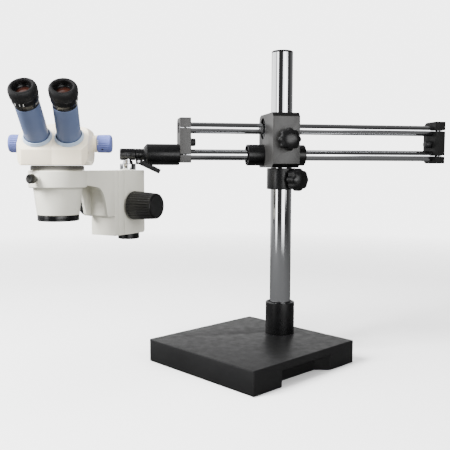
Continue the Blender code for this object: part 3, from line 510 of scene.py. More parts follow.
def lathe(name, profile, place, look=None, body=None, nodes=(), sides=96, soft=0.0, sharp=35):
    """A solid of revolution about Z from (radius, height) points in mm."""
    solid = profile[0][0] == 0 and profile[-1][0] == 0
    points = softened(profile, soft, 4, closed=not solid) if soft else profile
    bm = bmesh.new()
    verts = [bm.verts.new((max(r, 0) * MM, 0, h * MM)) for r, h in points]
    edges = [bm.edges.new(pair) for pair in zip(verts, verts[1:])]
    if not solid:
        edges.append(bm.edges.new((verts[-1], verts[0])))
    bmesh.ops.spin(
        bm, geom=verts + edges, cent=(0, 0, 0), axis=(0, 0, 1), angle=2 * math.pi, steps=sides, use_merge=True
    )
    bmesh.ops.remove_doubles(bm, verts=bm.verts[:], dist=1e-7)
    bmesh.ops.dissolve_degenerate(bm, edges=bm.edges[:], dist=1e-8)
    return finish(name, bm, place, look, body, nodes, sharp)


def rod(name, radius, low, high, place, look=None, body=None, nodes=(), sides=64, soft=0.0):
    return lathe(name, [(0, low), (radius, low), (radius, high), (0, high)], place, look, body, nodes, sides, soft)


def slab(name, outline, low, high, place, look=None, body=None, nodes=()):
    """An outline in XY, mm, extruded along Z."""
    bm = bmesh.new()
    face = bm.faces.new([bm.verts.new((x * MM, y * MM, low * MM)) for x, y in outline])
    raised = bmesh.ops.extrude_face_region(bm, geom=[face])["geom"]
    moved = [v for v in raised if isinstance(v, bmesh.types.BMVert)]
    bmesh.ops.translate(bm, verts=moved, vec=(0, 0, (high - low) * MM))
    return finish(name, bm, place, look, body, nodes)


def block(name, low, high, place, look=None, body=None, nodes=()):
    outline = [(low[0], low[1]), (high[0], low[1]), (high[0], high[1]), (low[0], high[1])]
    return slab(name, outline, low[2], high[2], place, look, body, nodes)


def rings(name, loops, place, look=None, body=None, nodes=(), sharp=35, close_ends=True, ring_shape=False):
    """A skin over loops of points, each loop having the same count, in mm."""
    bm = bmesh.new()
    made = [[bm.verts.new(Vector(p) * MM) for p in loop] for loop in loops]
    count = len(loops[0])
    pairs = list(zip(made, made[1:]))
    if ring_shape:
        pairs.append((made[-1], made[0]))
    for a, b in pairs:
        for i in range(count):
            j = (i + 1) % count
            bm.faces.new((a[i], a[j], b[j], b[i]))
    if close_ends and not ring_shape:
        bm.faces.new(made[0][::-1])
        bm.faces.new(made[-1])
    return finish(name, bm, place, look, body, nodes, sharp)


def boolean(obj, other, operation, solver="EXACT"):
    modifier = obj.modifiers.new(operation.lower(), "BOOLEAN")
    modifier.operation = operation
    modifier.solver = solver
    modifier.object = other
    return modifier


def cut(obj, other, solver="EXACT"):
    boolean(obj, other, "DIFFERENCE", solver)


def join(obj, other, solver="EXACT"):
    boolean(obj, other, "UNION", solver)


def common(obj, other):
    boolean(obj, other, "INTERSECT")


def bevel(obj, width, segments=3, angle=40.0):
    modifier = obj.modifiers.new("soften", "BEVEL")
    modifier.width = width * MM
    modifier.segments = segments
    modifier.limit_method = "ANGLE"
    modifier.angle_limit = math.radians(angle)
    modifier.miter_outer = "MITER_ARC"
    modifier.use_clamp_overlap = True
    return modifier


def settle(obj, sharp=35):
    """Applies the modifiers, so that the mesh is final, and removes their helpers."""
    bpy.context.view_layer.update()
    helpers = [m.object for m in obj.modifiers if m.type == "BOOLEAN" and m.object]
    was = obj.hide_viewport
    obj.hide_viewport = False
    bpy.context.view_layer.update()
    graph = bpy.context.evaluated_depsgraph_get()
    mesh = bpy.data.meshes.new_from_object(obj.evaluated_get(graph), depsgraph=graph)
    obj.modifiers.clear()
    old = obj.data
    obj.data = mesh
    mesh.name = obj.name
    bm = bmesh.new()
    bm.from_mesh(mesh)
    bmesh.ops.remove_doubles(bm, verts=bm.verts[:], dist=2e-6)
    bmesh.ops.dissolve_degenerate(bm, edges=bm.edges[:], dist=1e-6)
    bm.to_mesh(mesh)
    bm.free()
    mesh.shade_smooth()
    mesh.set_sharp_from_angle(angle=math.radians(sharp))
    obj.hide_viewport = was
    for helper in helpers:
        if helper.hide_render and helper.name in bpy.data.objects:
            bpy.data.objects.remove(helper, do_unlink=True)
    return obj


def solid_look(obj, look, body, nodes=(), width=0.0, segments=3, angle=40.0, sharp=35):
    """Applies the cuts, softens the edges, then gives the piece its finish and body."""
    settle(obj, sharp)
    if width:
        bevel(obj, width, segments, angle)
        settle(obj, sharp)
    obj.hide_render = False
    obj.hide_viewport = False
    return dress(obj, look, body, nodes)


def fluted(name, stations, count, per, place, look, body, nodes=(), ring_shape=False, phase=0.0, shape="round", sharp=50):
    """A turned shape with flutes: stations are (radius, height, flute depth) in mm."""
    steps = count * per
    loops = []
    for r, h, depth in stations:
        loop = []
        for i in range(steps):
            a = 2 * math.pi * i / steps + phase
            wave = 0.5 - 0.5 * math.cos(count * (a - phase))
            if shape == "tooth":
                wave = min(1.0, max(0.0, (wave - 0.25) * 2.0))
            elif shape == "scallop":
                wave = wave**1.5
            q = r - depth * wave
            loop.append((q * math.cos(a), q * math.sin(a), h))
        loops.append(loop)
    return rings(name, loops, place, look, body, nodes, sharp, True, ring_shape)


def arc_patch(name, radius, a0, a1, h0, h1, thick, place, look, body, radius_top=None):
    """A thin painted mark lying on a turned surface, angles in degrees."""
    steps = 6
    top = radius if radius_top is None else radius_top
    loops = []
    for i in range(steps + 1):
        a = math.radians(a0 + (a1 - a0) * i / steps)
        loop = []
        for r, h in ((radius - 0.3, h0), (radius + thick, h0), (top + thick, h1), (top - 0.3, h1)):
            loop.append((r * math.cos(a), r * math.sin(a), h))
        loops.append(loop)
    return rings(name, loops, place, look, body, (), 35)


def hand_knob(name, place, body, seat, node):
    """A moulded lobed knob with a domed face and a neck."""
    low = seat + 8
    stations = [
        (9.5, low + 0.6, 0.0),
        (12.5, low + 0.1, 0.0),
        (18.4, low, 1.9),
        (19.5, low + 0.6, 2.5),
        (20.0, low + 1.8, 2.8),
        (20.0, low + 12.4, 2.8),
        (19.7, low + 14.2, 2.6),
        (18.8, low + 15.8, 2.0),
        (17.4, low + 17.2, 1.2),
        (15.5, low + 18.5, 0.5),
        (13.2, low + 19.7, 0.1),
        (10.6, low + 20.7, 0.0),
        (7.6, low + 21.4, 0.0),
        (4.2, low + 21.85, 0.0),
        (1.0, low + 22.0, 0.0),
    ]
    knob = fluted(name, stations, 8, 14, place, "knob_black", body, (node,), shape="scallop")
    lathe(
        name + "_neck",
        [(0, seat + 0.2), (8.9, seat + 0.2), (9.5, seat + 0.8), (9.5, low + 1.2), (0, low + 1.2)],
        place,
        "knob_black",
        body,
        sides=64,
    )
    return knob


def cap_screw(name, place, radius, high, look, body, node, depth, shank):
    """A socket head cap screw, head face at z 0.4 mm below the frame's origin, running along Z."""
    screw = lathe(
        name,
        [(0, 0.4), (radius - 0.5, 0.4), (radius, 0.9), (radius, high), (shank, high), (shank, depth), (0, depth)],
        place,
        sides=40,
    )
    cut(screw, rod(name + "_socket", 0.47 * radius, -1, 2.4, place, sides=6))
    return solid_look(screw, look, body, (node,), 0.12, 2)


def corner(cx, cy, radius, start, end, steps):
    return [
        (
            cx + radius * math.cos(math.radians(start + (end - start) * i / steps)),
            cy + radius * math.sin(math.radians(start + (end - start) * i / steps)),
        )
        for i in range(steps + 1)
    ]


# ------------------------------------------------------------------ base and pillar
half = BASE_SIDE / 2
plate = block("base_plate_look", (-half, -half, 0), (half, half, BASE_HEIGHT), BASE)
for side, hand in ((-1, "left"), (1, "right")):
    grip = [(side * (half + 5), -68), (side * (half - 20), -43), (side * (half - 20), 43), (side * (half + 5), 68)]
    if side < 0:
        grip.reverse()
    cut(plate, slab("grip_" + hand, grip, -5, 27, BASE))
cut(plate, rod("bolt_recess", 12, -2, 12, AT_PILLAR))
cut(plate, rod("bolt_way", 6.6, 10, 45, AT_PILLAR))
solid_look(plate, "base_black", "stand", ("base_plate",), 1.6, 4)

lathe(
    "base_socket_look",
    [(19.45, 40.3), (26.3, 40.3), (26.3, 97), (25.3, 98), (23, 98), (21.5, 96.2), (19.45, 96)],
    AT_PILLAR, "stand_black", "stand", ("base_socket",), 128, 0.5,
)
lathe(
    "pillar_look",
    [(0, 82.6), (6.6, 82.6), (6.6, 40.6), (18.5, 40.6), (19, 41.1), (19, 545.8), (18.5, 546.4), (15.5, 546.4), (15.5, 530.4), (0, 530.4)],
    AT_PILLAR, "chrome", "stand", ("pillar",), 160, 0.3,
)
lathe(
    "pillar_cap_look",
    [(0, 533.4), (15, 533.4), (15, 546.7), (19, 546.7), (19, 548.4), (17.6, 549.5), (12, 549.9), (0, 550)],
    AT_PILLAR, "stand_black", "stand", ("pillar_cap",), 128, 0.5,
)

# ------------------------------------------------------------------ stop collar
KNOB_A = COLLAR @ aimed((0, 0, COLLAR_KNOB_Z * MM), (1, 0, 0))
collar = lathe(
    "stop_collar_look",
    [(19.45, 304.3), (25, 304.3), (26, 305.3), (26, 341.3), (25, 342.3), (19.45, 342.3)],
    COLLAR, sides=128, soft=0.6,
)
cut(collar, rod("collar_tap", 5, 10, 30, KNOB_A, sides=48))
solid_look(collar, "stand_black", "collar", ("stop_collar",))
hand_knob("collar_knob_look", KNOB_A, "collar_knob", 27.2, "collar_knob")
rod("collar_stud", 4.3, 19.8, 29, KNOB_A, "steel", "collar_knob", sides=48)

# ------------------------------------------------------------------ carriage
ALONG = BOOM @ aimed((0, RAIL_Y * MM, LOWER_Z * MM), (1, 0, 0))
ALONG_UP = BOOM @ aimed((0, RAIL_Y * MM, UPPER_Z * MM), (1, 0, 0))
LOOK = BOOM @ Matrix(((0, 0, 1, 0), (1, 0, 0, 0), (0, 1, 0, 0), (0, 0, 0, 1)))  # local (x, y, z) = (y, z, t)
LOCK_FRONT = BOOM @ aimed((0, 0, PILLAR_LOCK_Z * MM), (0, -1, 0))
LOCK_REAR = BOOM @ aimed((0, RAIL_Y * MM, LOWER_Z * MM), (0, 1, 0))
outline = [
    (-32, 350),
    (-25, 343),
    *corner(61, 351, 8, -90, 0, 8),
    *corner(55, 426, 14, 0, 90, 12),
    (-25, 440),
    (-32, 433),
]
carriage = slab("carriage_block_look", outline, -24.5, 24.5, LOOK)
cut(carriage, rod("pillar_bore", 19.45, 330, 450, BOOM, sides=96))
cut(carriage, rod("sleeve_bore", 19.85, -40, 40, ALONG, sides=96))
cut(carriage, rod("bearing_bore", 19.5, -40, 40, ALONG_UP, sides=96))
cut(carriage, rod("lock_tap_front", 5, 10, 40, LOCK_FRONT, sides=48))
cut(carriage, rod("lock_tap_rear", 5, 12, 40, LOCK_REAR, sides=48))
solid_look(carriage, "casting_grey", "carriage", ("carriage_block",), 0.8, 3, 35)
hand_knob("pillar_lock_look", LOCK_FRONT, "pillar_lock", 32.4, "pillar_lock_knob")
hand_knob("boom_lock_look", LOCK_REAR, "boom_lock", 28.4, "boom_lock_knob")
rod("pillar_lock_stud", 4.3, 19.9, 34, LOCK_FRONT, "steel", "pillar_lock", sides=48)
rod("boom_lock_stud", 4.3, 10.9, 30, LOCK_REAR, "steel", "boom_lock", sides=48)

bearing = [(19.2, -21), (19.2, 21), (16.5, 21), (16.5, 19.5), (15, 19.5), (14, 18.5), (10.35, 18.5)]
bearing += [(10.35, -18.5), (14, -18.5), (15, -19.5), (16.5, -19.5), (16.5, -21)]
lathe("upper_bearing_look", bearing, ALONG_UP, "steel", "carriage", ("upper_bearing",), 96, 0.25)
for side, hand in ((-1, "left"), (1, "right")):
    lathe(
        "bearing_seal_" + hand,
        [(10.5, side * 18.4), (14.2, side * 18.4), (16.3, side * 19.4), (16.3, side * 20.2), (14.8, side * 20.0), (11.2, side * 19.1), (10.5, side * 19.1)],
        ALONG_UP, "seal_black", "carriage", (), 96, 0.2,
    )
sleeve = lathe(
    "lower_sleeve_look",
    [
        (15.3, -49), (17, -50), (17, -55), (18.7, -55), (19.5, -54.2), (19.5, 54.2), (18.7, 55),
        (17, 55), (17, 50), (15.3, 49),
    ],
    ALONG, sides=96, soft=0.3,
)
cut(sleeve, rod("sleeve_tap", 5, 12, 24, LOCK_REAR, sides=48))
solid_look(sleeve, "stand_black", "carriage", ("lower_sleeve",))
for side, hand in ((-1, "left"), (1, "right")):
    lathe(
        "sleeve_wiper_" + hand,
        [(10.3, side * 47.9), (16.8, side * 47.9), (16.8, side * 51.1), (14.0, side * 51.7), (11.2, side * 51.1), (10.3, side * 50.4)],
        ALONG, "seal_black", "carriage", (), 96, 0.3,
    )

# ------------------------------------------------------------------ boom
lathe(
    "upper_rail_look", [(0, RAIL_LEFT + 1), (10, RAIL_LEFT + 1), (10, RAIL_RIGHT - 1), (0, RAIL_RIGHT - 1)],
    ALONG_UP, "chrome", "boom", ("upper_rail",), 96, 0.8,
)
lathe(
    "lower_rail_look", [(0, RAIL_LEFT + 6.5), (10, RAIL_LEFT + 6.5), (10, RAIL_RIGHT - 1), (0, RAIL_RIGHT - 1)],
    ALONG, "chrome", "boom", ("lower_rail",), 96, 0.8,
)
bracket_outline = [(22, 351.5), *corner(58, 364.5, 13, -90, 0, 10), *corner(58, 419, 13, 0, 90, 10), (22, 432)]
for hand, low, inward, stop in (("left", RAIL_LEFT, 1, 10.5), ("right", RAIL_RIGHT - 20, -1, 14)):
    high = low + 20
    middle = (low + high) / 2
    bracket = slab(f"bracket_{hand}_look", bracket_outline, low, high, LOOK)
    bevel(bracket, 0.9, 4, 35)
    settle(bracket)
    screws = []
    for level, along, z in (("upper", ALONG_UP, UPPER_Z), ("lower", ALONG, LOWER_Z)):
        tag = f"{level}_{hand}"
        cut(bracket, rod("hole_" + tag, 10.25, low - 5, high + 5, along, sides=72), "MANIFOLD")
        cut(bracket, block("slit_" + tag, (low - 5, 15, z - 1.1), (high + 5, 37, z + 1.1), BOOM), "MANIFOLD")
        top = level == "upper"
        face = 432 if top else 351.5
        DOWN = BOOM @ aimed((middle * MM, 26.6 * MM, face * MM), (0, 0, -1 if top else 1), (1, 0, 0))
        reach = abs(face - z) + 11
        cut(bracket, rod("way_" + tag, 2.4, 2, reach + 1, DOWN, sides=32), "MANIFOLD")
        cut(bracket, rod("seat_" + tag, 4.1, -3, 4.6, DOWN, sides=40), "MANIFOLD")
        screws.append((tag, DOWN, reach))
    inner = high if inward > 0 else low
    IN = BOOM @ aimed((inner * MM, RAIL_Y * MM, 388.5 * MM), (inward, 0, 0))
    cut(bracket, rod("peg_way_" + hand, 2.9, -10, 5, IN, sides=32), "MANIFOLD")
    # The right bracket takes the darker copy of the casting finish as painted shade; the left bracket keeps
    # casting_grey.
    solid_look(bracket, "casting_grey" if inward > 0 else "casting_shaded_copy", "boom", ("bracket_" + hand,))
    for tag, DOWN, reach in screws:
        cap_screw("clamp_screw_look_" + tag, DOWN, 3.6, 4.3, "steel", "boom", "clamp_screw_" + tag, reach, 2)
    lathe(
        f"bumper_{hand}_look",
        [(0, -9), (2.5, -9), (2.5, 0.3), (7, 0.3), (7, stop - 2.2), (6.3, stop - 0.9), (5.2, stop - 0.2), (0, stop)],
        IN, "rubber", "boom", ("bumper_" + hand,), 64, 0.5,
    )

barrel = lathe(
    "arm_barrel_look",
    [
        (6.45, -258.8), (10, -258.8), (10.3, -258.5), (10.3, -254.8), (9.7, -254.5), (9.7, -253.9), (10.3, -253.6),
        (10.3, -250), (9.75, -249.7), (9.75, -248.9), (10.3, -248.6), (10.3, -245.3), (10.7, -245), (13.2, -244.2),
        (14.4, -243.3), (18.1, -239.9), (18.8, -239.1), (19, -238.4), (19, -182.1), (18.4, -181.3), (9.9, -181.3),
        (9.9, -175.5), (0, -175.5),
        (0, -208), (6.45, -210),
    ],
    ALONG, sides=96, soft=0.0,
)
cut(barrel, block("neck_slit", (-265, RAIL_Y - 0.8, 340), (-250.6, RAIL_Y + 0.8, 361), BOOM))
FORWARD = BOOM @ aimed((LEVER_T * MM, RAIL_Y * MM, LEVER_Z * MM), (0, -1, 0))
ears = block("clamp_ears_look", (-258.6, RAIL_Y - 9, 348.5), (-251.5, RAIL_Y + 9, 359), BOOM)
bevel(ears, 1.0, 3, 35)
settle(ears)
cut(ears, block("ear_slit", (-265, RAIL_Y - 0.8, 340), (-250.6, RAIL_Y + 0.8, 361), BOOM), "MANIFOLD")
cut(ears, rod("ear_hole", 2.5, -15, 15, FORWARD, sides=32), "MANIFOLD")
solid_look(ears, "lever_black", "boom", ("arm_barrel",))
solid_look(barrel, "stand_black", "boom", ("arm_barrel",), 0.35, 2, 50)

lean = math.radians(26)
BAR = BOOM @ aimed((LEVER_T * MM, RAIL_Y * MM, LEVER_Z * MM), (0, -1, 0), (math.cos(lean), 0, -math.sin(lean)))
lever = slab(
    "clamp_lever_look",
    softened([(-4.6, -2.2), (-2.6, -4.2), (2, -4.6), (41.5, -4.1), (41.5, 4.1), (2, 4.6), (-2.6, 4.2), (-4.6, 2.2)],
             [1.5, 1.5, 2, 1.4, 1.4, 2, 1.5, 1.5], 5),
    20, 24.5, BAR,
)
solid_look(lever, "lever_black", "lever", ("clamp_lever",), 1.0, 4, 50)
lathe(
    "lever_screw_look",
    [(0, -8), (2.1, -8), (2.1, 9.4), (4.2, 9.4), (4.2, 22), (0, 22)],
    FORWARD, "lever_black", "lever", (), 48, 0.3,
)
lathe("lever_screw_end", [(0, 23.6), (2.6, 23.6), (2.6, 24.7), (2.2, 25.0), (0, 25.1)], FORWARD, "steel", "lever", (), 40, 0.1)

# ------------------------------------------------------------------ knuckle
PIN_FRONT = BOOM @ aimed((PIN_T * MM, RAIL_Y * MM, LOWER_Z * MM), (0, -1, 0))
knuckle = lathe(
    "knuckle_look",
    [(0, -287), (8.9, -287), (10.5, -285.4), (10.5, -260.2), (9.5, -259.2), (6, -259.2), (6, -213), (0, -213)],
    ALONG, sides=96, soft=0.7,
)
cut(knuckle, rod("pin_way", 6.4, 345, 374, FOCUS, sides=48))
cut(knuckle, rod("set_screw_way", 3.6, 3, 14, PIN_FRONT, sides=48))
solid_look(knuckle, "stand_black", "knuckle", ("knuckle",), 0.25, 2, 60)
set_screw = lathe(
    "knuckle_set_screw_look", [(0, 6.6), (3.2, 6.6), (3.2, 10), (0, 10)], PIN_FRONT, sides=48, soft=0.4
)
cut(set_screw, block("screw_slot", (-5, -0.5, 9), (5, 0.5, 12), PIN_FRONT))
solid_look(set_screw, "dark_steel", "knuckle", ("knuckle_set_screw",), 0.1, 2)

# ------------------------------------------------------------------ focus mount
lathe(
    "mount_pin_look",
    [
        (0, 238), (4.4, 238), (4.4, 228.4), (8, 228.4), (8, 338.3), (13.4, 338.3), (14.2, 339.1), (14.2, 348.6),
        (13.3, 349.5), (9.2, 349.5), (9.2, 352.4), (8.4, 353), (8.4, 355), (6, 355), (6, 373), (0, 373),
    ],
    FOCUS, "chrome", "focus_mount", ("mount_pin",), 96, 0.35,
)
ACROSS = FOCUS @ aimed((PINION_X * MM, 0, PINION_Z * MM), (0, 1, 0), (1, 0, 0))
SIDE = FOCUS @ Matrix(((1, 0, 0, 0), (0, 0, -1, 0), (0, 1, 0, 0), (0, 0, 0, 1)))  # local (x, y, z) = (x, z, -y)
housing = slab(
    "focus_housing_look",
    softened([(-13.4, 227), (44.2, 227), (44.2, 338), (-13.4, 338)], [5.5, 0.6, 0.6, 2.0], 8),
    -26, 26, SIDE,
)
cut(housing, rod("pin_bore", 8.4, 220, 345, FOCUS, sides=72))
cut(housing, block("rack_channel", (27, -8.5, 222), (52, 8.5, 330), FOCUS))
cut(housing, block("gear_pocket", (13, -8.4, 267), (30, 8.4, 287), FOCUS))
cut(housing, rod("shaft_bore", 5.5, -40, 40, ACROSS, sides=48))
solid_look(housing, "light_grey", "focus_mount", ("focus_housing",), 1.1, 4, 35)

guide = block("dovetail_guide_look", (44.5, -26, 227), (59.3, 26, 338), FOCUS)
cut(guide, slab("dovetail_groove", [(48.2, -16), (65.3, -7.3), (65.3, 7.3), (48.2, 16)], 220, 345, FOCUS))
cut(guide, block("rack_window", (40, -8.5, 222), (52.2, 8.5, 330), FOCUS))
solid_look(guide, "light_grey", "focus_mount", ("dovetail_guide",), 0.7, 3, 35)
lathe(
    "pin_cap_look",
    [(0, 215.3), (17.2, 215.3), (18.5, 215.8), (19, 216.9), (19, 226.2), (18.5, 226.7), (4, 226.7), (4, 237), (0, 237)],
    FOCUS, "stand_black", "focus_mount", ("pin_cap",), 96, 0.4,
)

# ------------------------------------------------------------------ focus slide
slide = block("slide_plate_look", (59.6, -26, 227), (69.8, 26, 338), FOCUS)
join(slide, slab("tail", [(48.7, -15.25), (62.3, -8.35), (62.3, 8.35), (48.7, 15.25)], 228, 337, FOCUS))
solid_look(slide, "light_grey", "focus_slide", ("slide_plate",), 0.7, 3, 35)


def smooth_path(points, steps=6):
    """A curve through the points, with the first and last kept."""
    out = []
    pts = [Vector(p) for p in points]
    for i in range(len(pts) - 1):
        p0 = pts[max(i - 1, 0)]
        p1, p2 = pts[i], pts[i + 1]
        p3 = pts[min(i + 2, len(pts) - 1)]
        for k in range(steps):
            t = k / steps
            q = 0.5 * (
                2 * p1
                + (p2 - p0) * t
                + (2 * p0 - 5 * p1 + 4 * p2 - p3) * t * t
                + (-p0 + 3 * p1 - 3 * p2 + p3) * t**3
            )
            out.append((q.x, q.y))
    out.append(tuple(points[-1]))
    return out


under = smooth_path(
    [(89.3, 264), (92, 277), (95.5, 291), (99, 299), (104, 305.5), (111, 310), (127, 313), (144, 315)], 4
)
arm = slab(
    "focus_arm_look",
    [(70.1, 261), (86.4, 261), (87.9, 261.8), *under, (144, 337.6), (70.1, 337.6)],
    -26, 26, SIDE,
)
inside = smooth_path([(104, 331.5), (92, 328), (83, 319), (77.5, 306), (76, 290), (76, 250)], 5)
cut(arm, slab("arm_hollow", [(150, 250), (150, 331.5), *inside], -21, 21, SIDE), "MANIFOLD")
AT_RING = FOCUS @ shift((RING_X * MM, 0, 0))
ring = lathe(
    "arm_ring",
    [(0, 312), (43.25, 312), (44.25, 313), (44.25, 337.1), (43.25, 338), (0, 338)],
    AT_RING, sides=128, soft=0.7,
)
join(arm, ring, "MANIFOLD")
OUTWARD = FOCUS @ aimed((RING_X * MM, 0, THUMB_Z * MM), (1, 0, 0), (0, 1, 0))
join(arm, lathe("thumb_boss", [(0, 40), (6.5, 40), (6.5, 45.4), (5.9, 46), (0, 46)], OUTWARD, sides=64), "MANIFOLD")
cut(arm, rod("head_bore", 38, 300, 350, AT_RING, sides=128), "MANIFOLD")
cut(arm, rod("thumb_way", 3.4, 30, 60, OUTWARD, sides=32), "MANIFOLD")
solid_look(arm, "light_grey", "focus_slide", ("focus_arm",), 0.6, 3, 38)

lathe(
    "thumb_screw_shank",
    [(0, 38.4), (3, 38.4), (3, 47.5), (4.5, 47.5), (4.5, 51.4), (0, 51.4)],
    OUTWARD, "thumb_steel", "thumb_screw", (), 48, 0.2,
)
fluted(
    "ring_thumb_screw_look",
    [
        (4.6, 51, 0), (6.2, 51, 0.05), (6.9, 51.5, 0.3), (7.1, 51.9, 0.45), (7.1, 59, 0.45), (6.9, 59.5, 0.3),
        (6.2, 60, 0.05), (4.6, 60, 0), (4.2, 59.7, 0), (0.5, 59.6, 0),
    ],
    32, 6, OUTWARD, "thumb_steel", "thumb_screw", ("ring_thumb_screw",),
)

# ------------------------------------------------------------------ pinion and its knobs
for side, hand in ((-1, "left"), (1, "right")):
    OUT = FOCUS @ aimed((PINION_X * MM, 0, PINION_Z * MM), (0, side, 0), (1, 0, 0))
    stations = [(5.3, 29.8, 0), (22.6, 29.8, 0), (24.2, 30.2, 0), (24.9, 31.2, 0), (24.9, 32.6, 0), (24.7, 33.2, 0.25)]
    for i in range(9):
        h = 33.8 + (75.6 - 33.8) * i / 8
        stations.append((24.8 - (24.8 - 22.1) * (h - 33.8) / 41.8, h, 0.95))
    stations += [
        (22.0, 76.5, 0.45), (21.9, 77.2, 0), (21.6, 78.2, 0), (20.9, 79.0, 0), (20.0, 79.35, 0), (18.6, 79.5, 0),
        (12.0, 79.5, 0), (1.0, 79.5, 0),
    ]
    fluted(
        f"focus_knob_{hand}_look", stations, 30, 8, OUT, "knob_black", "pinion", ("focus_knob_" + hand,),
    )

# ------------------------------------------------------------------ head
lathe(
    "head_body_look",
    [
        (28.6, 269.4), (31.6, 269.4), (32.4, 270.2), (34.6, 288), (37.4, 310.6), (37.4, 338.4), (40.4, 338.4), (41, 339),
        (41, 339.2), (28.6, 339.2),
    ],
    HEAD, "light_grey", "head", ("head_body",), 160, 0.2,
)
lathe(
    # The neck band of the head body is coloured dark grey as painted shade under the housing.
    "head_neck_look", [(28.6, 339.2), (40.6, 339.2), (40.8, 339.6), (40.8, 344.6), (39.6, 345.2), (39.6, 345.8), (28.6, 345.8)],
    HEAD, "neck_shade_grey", "head", ("head_body",), 160, 0.15,
)
lathe(
    "objective_bezel_look",
    [
        (25.4, 263.4), (27.9, 260.4), (31, 260.4), (32, 261.4), (32, 262.8), (31.6, 263), (31.6, 263.5), (32, 263.7),
        (32, 269), (28.2, 269), (28.2, 278.4), (25.4, 278.4),
    ],
    HEAD, "eyepiece_black", "head", ("objective_bezel",), 160, 0.15,
)
lathe(
    "objective_lens_look",
    [(0, 264.6), (6, 264.8), (12, 265.25), (18, 266.0), (23, 267.0), (25, 267.5), (25, 271.4), (18, 272.5), (9, 273.2), (0, 273.4)],
    HEAD, "glass", "head", ("objective_lens",), 96,
)

plan = [(-52.5, -36), (-44.5, -44), (44.5, -44), (52.5, -36), (52.5, 36), (42.5, 46), (-42.5, 46), (-52.5, 36)]
front = [
    (-47, 346.1), (47, 346.1), (51, 352), (52.5, 362), (52.5, 391), (50.5, 399), (45.3, 404.2), (0, 410.5),
    (-45.3, 404.2), (-50.5, 399), (-52.5, 391), (-52.5, 362), (-51, 352),
]
profile = [(-44, 346.1), (46, 346.1), (46, 390), (24, 410.5), (-3, 410.5), (-44, 369.5)]
THROUGH = HEAD @ Matrix(((1, 0, 0, 0), (0, 0, -1, 0), (0, 1, 0, 0), (0, 0, 0, 1)))
ACROSS_HEAD = HEAD @ Matrix(((0, 0, 1, 0), (1, 0, 0, 0), (0, 1, 0, 0), (0, 0, 0, 1)))


def housing_half(hand, side):
    whole = slab(f"housing_{hand}_look", softened(plan, 2.5, 4), 340, 415, HEAD)
    front_soft = softened(front, [3, 3, 5, 8, 8, 6, 8, 30, 8, 6, 8, 8, 5], 4)
    common(whole, slab("front_" + hand, front_soft, -50, 50, THROUGH))
    common(whole, slab("profile_" + hand, softened(profile, [1.5, 3, 4, 8, 6, 3], 4), -65, 65, ACROSS_HEAD))
    settle(whole)
    bevel(whole, 2.2, 4, 32)
    settle(whole)
    ends = sorted((side * 0.15, side * 70))
    common(whole, block("half_" + hand, (ends[0], -60, 330), (ends[1], 60, 430), HEAD))
    OUT = HEAD @ aimed((0, ZOOM_Y * MM, ZOOM_Z * MM), (side, 0, 0))
    join(whole, lathe("shoulder_" + hand, [(0, 43.4), (13.4, 43.4), (13.4, 57.3), (12.8, 57.9), (0, 57.9)], OUT, sides=96), "MANIFOLD")
    cut(whole, rod("zoom_way_" + hand, 4.7, 38, 65, OUT, sides=48), "MANIFOLD")
    cut(whole, rod("light_way_" + hand, 29, 340, 352, HEAD, sides=96), "MANIFOLD")
    UP = HEAD @ aimed(
        (side * abs(TUBE_X) * MM, TUBE_Y * MM, TUBE_Z * MM), (0, -math.sin(math.radians(45)), math.cos(math.radians(45))), (1, 0, 0)
    )
    cut(whole, rod("tube_way_" + hand, 17.2, -9, 9, UP, sides=96), "MANIFOLD")
    return solid_look(whole, "cream", "head", ("housing_" + hand,), 0.35, 2, 62), UP, OUT


for side, hand in ((-1, "left"), (1, "right")):
    half_obj, UP, OUT = housing_half(hand, side)
    lathe(
        f"flange_{hand}_look",
        [(19.3, 0.35), (21.9, 0.35), (22, 0.6), (22, 1.4), (21.6, 1.8), (21.45, 2.2), (20.6, 5.1), (20.1, 5.6), (19.3, 5.6)],
        UP, "ring_blue", "head", ("flange_" + hand,), 128, 0.15,
    )
    lathe(
        "flange_gap_" + hand, [(17.2, -2.5), (19.2, -2.5), (19.2, 4.6), (18.9, 4.6), (18.3, 3.2), (17.2, 2.0)],
        UP, "seal_black", "head", (), 96,
    )
    # zoom knob
    stations = [(4.3, 58.3, 0), (13.0, 58.3, 0), (13.8, 58.6, 0), (14.1, 59.3, 0), (14.15, 60.8, 0.0), (14.1, 61.3, 0.4)]
    for i in range(7):
        stations.append((14.2 + 0.2 * i / 6, 62.0 + (76.0 - 62.0) * i / 6, 0.75))
    stations += [
        (14.35, 77.0, 0.4), (14.1, 78.0, 0.0), (13.8, 78.9, 0), (13.2, 79.8, 0), (12.4, 80.5, 0), (11.4, 80.9, 0),
        (10.4, 81.0, 0), (9.6, 80.9, 0), (5.0, 80.9, 0), (1.0, 80.9, 0),
    ]
    fluted(f"zoom_knob_{hand}_look", stations, 26, 8, OUT, "knob_blue", "zoom", ("zoom_knob_" + hand,))
    turn = math.radians(side * 130)
    out = Vector((math.cos(turn), math.sin(turn), 0))
    dot_h = 62.2 if side < 0 else 67.0
    rod(
        f"zoom_set_screw_{hand}", 1.5, 12.6, 14.35, OUT @ aimed(Vector((0, 0, dot_h * MM)), out),
        "set_black", "zoom", sides=32, soft=0.15,
    )
    if side > 0:
        for k, at in enumerate((68, 80, 92)):
            arc_patch(f"zoom_mark_{k}", 14.12, at, at + 5, 59.5, 60.7, 0.05, OUT, "knob_mark", "zoom")

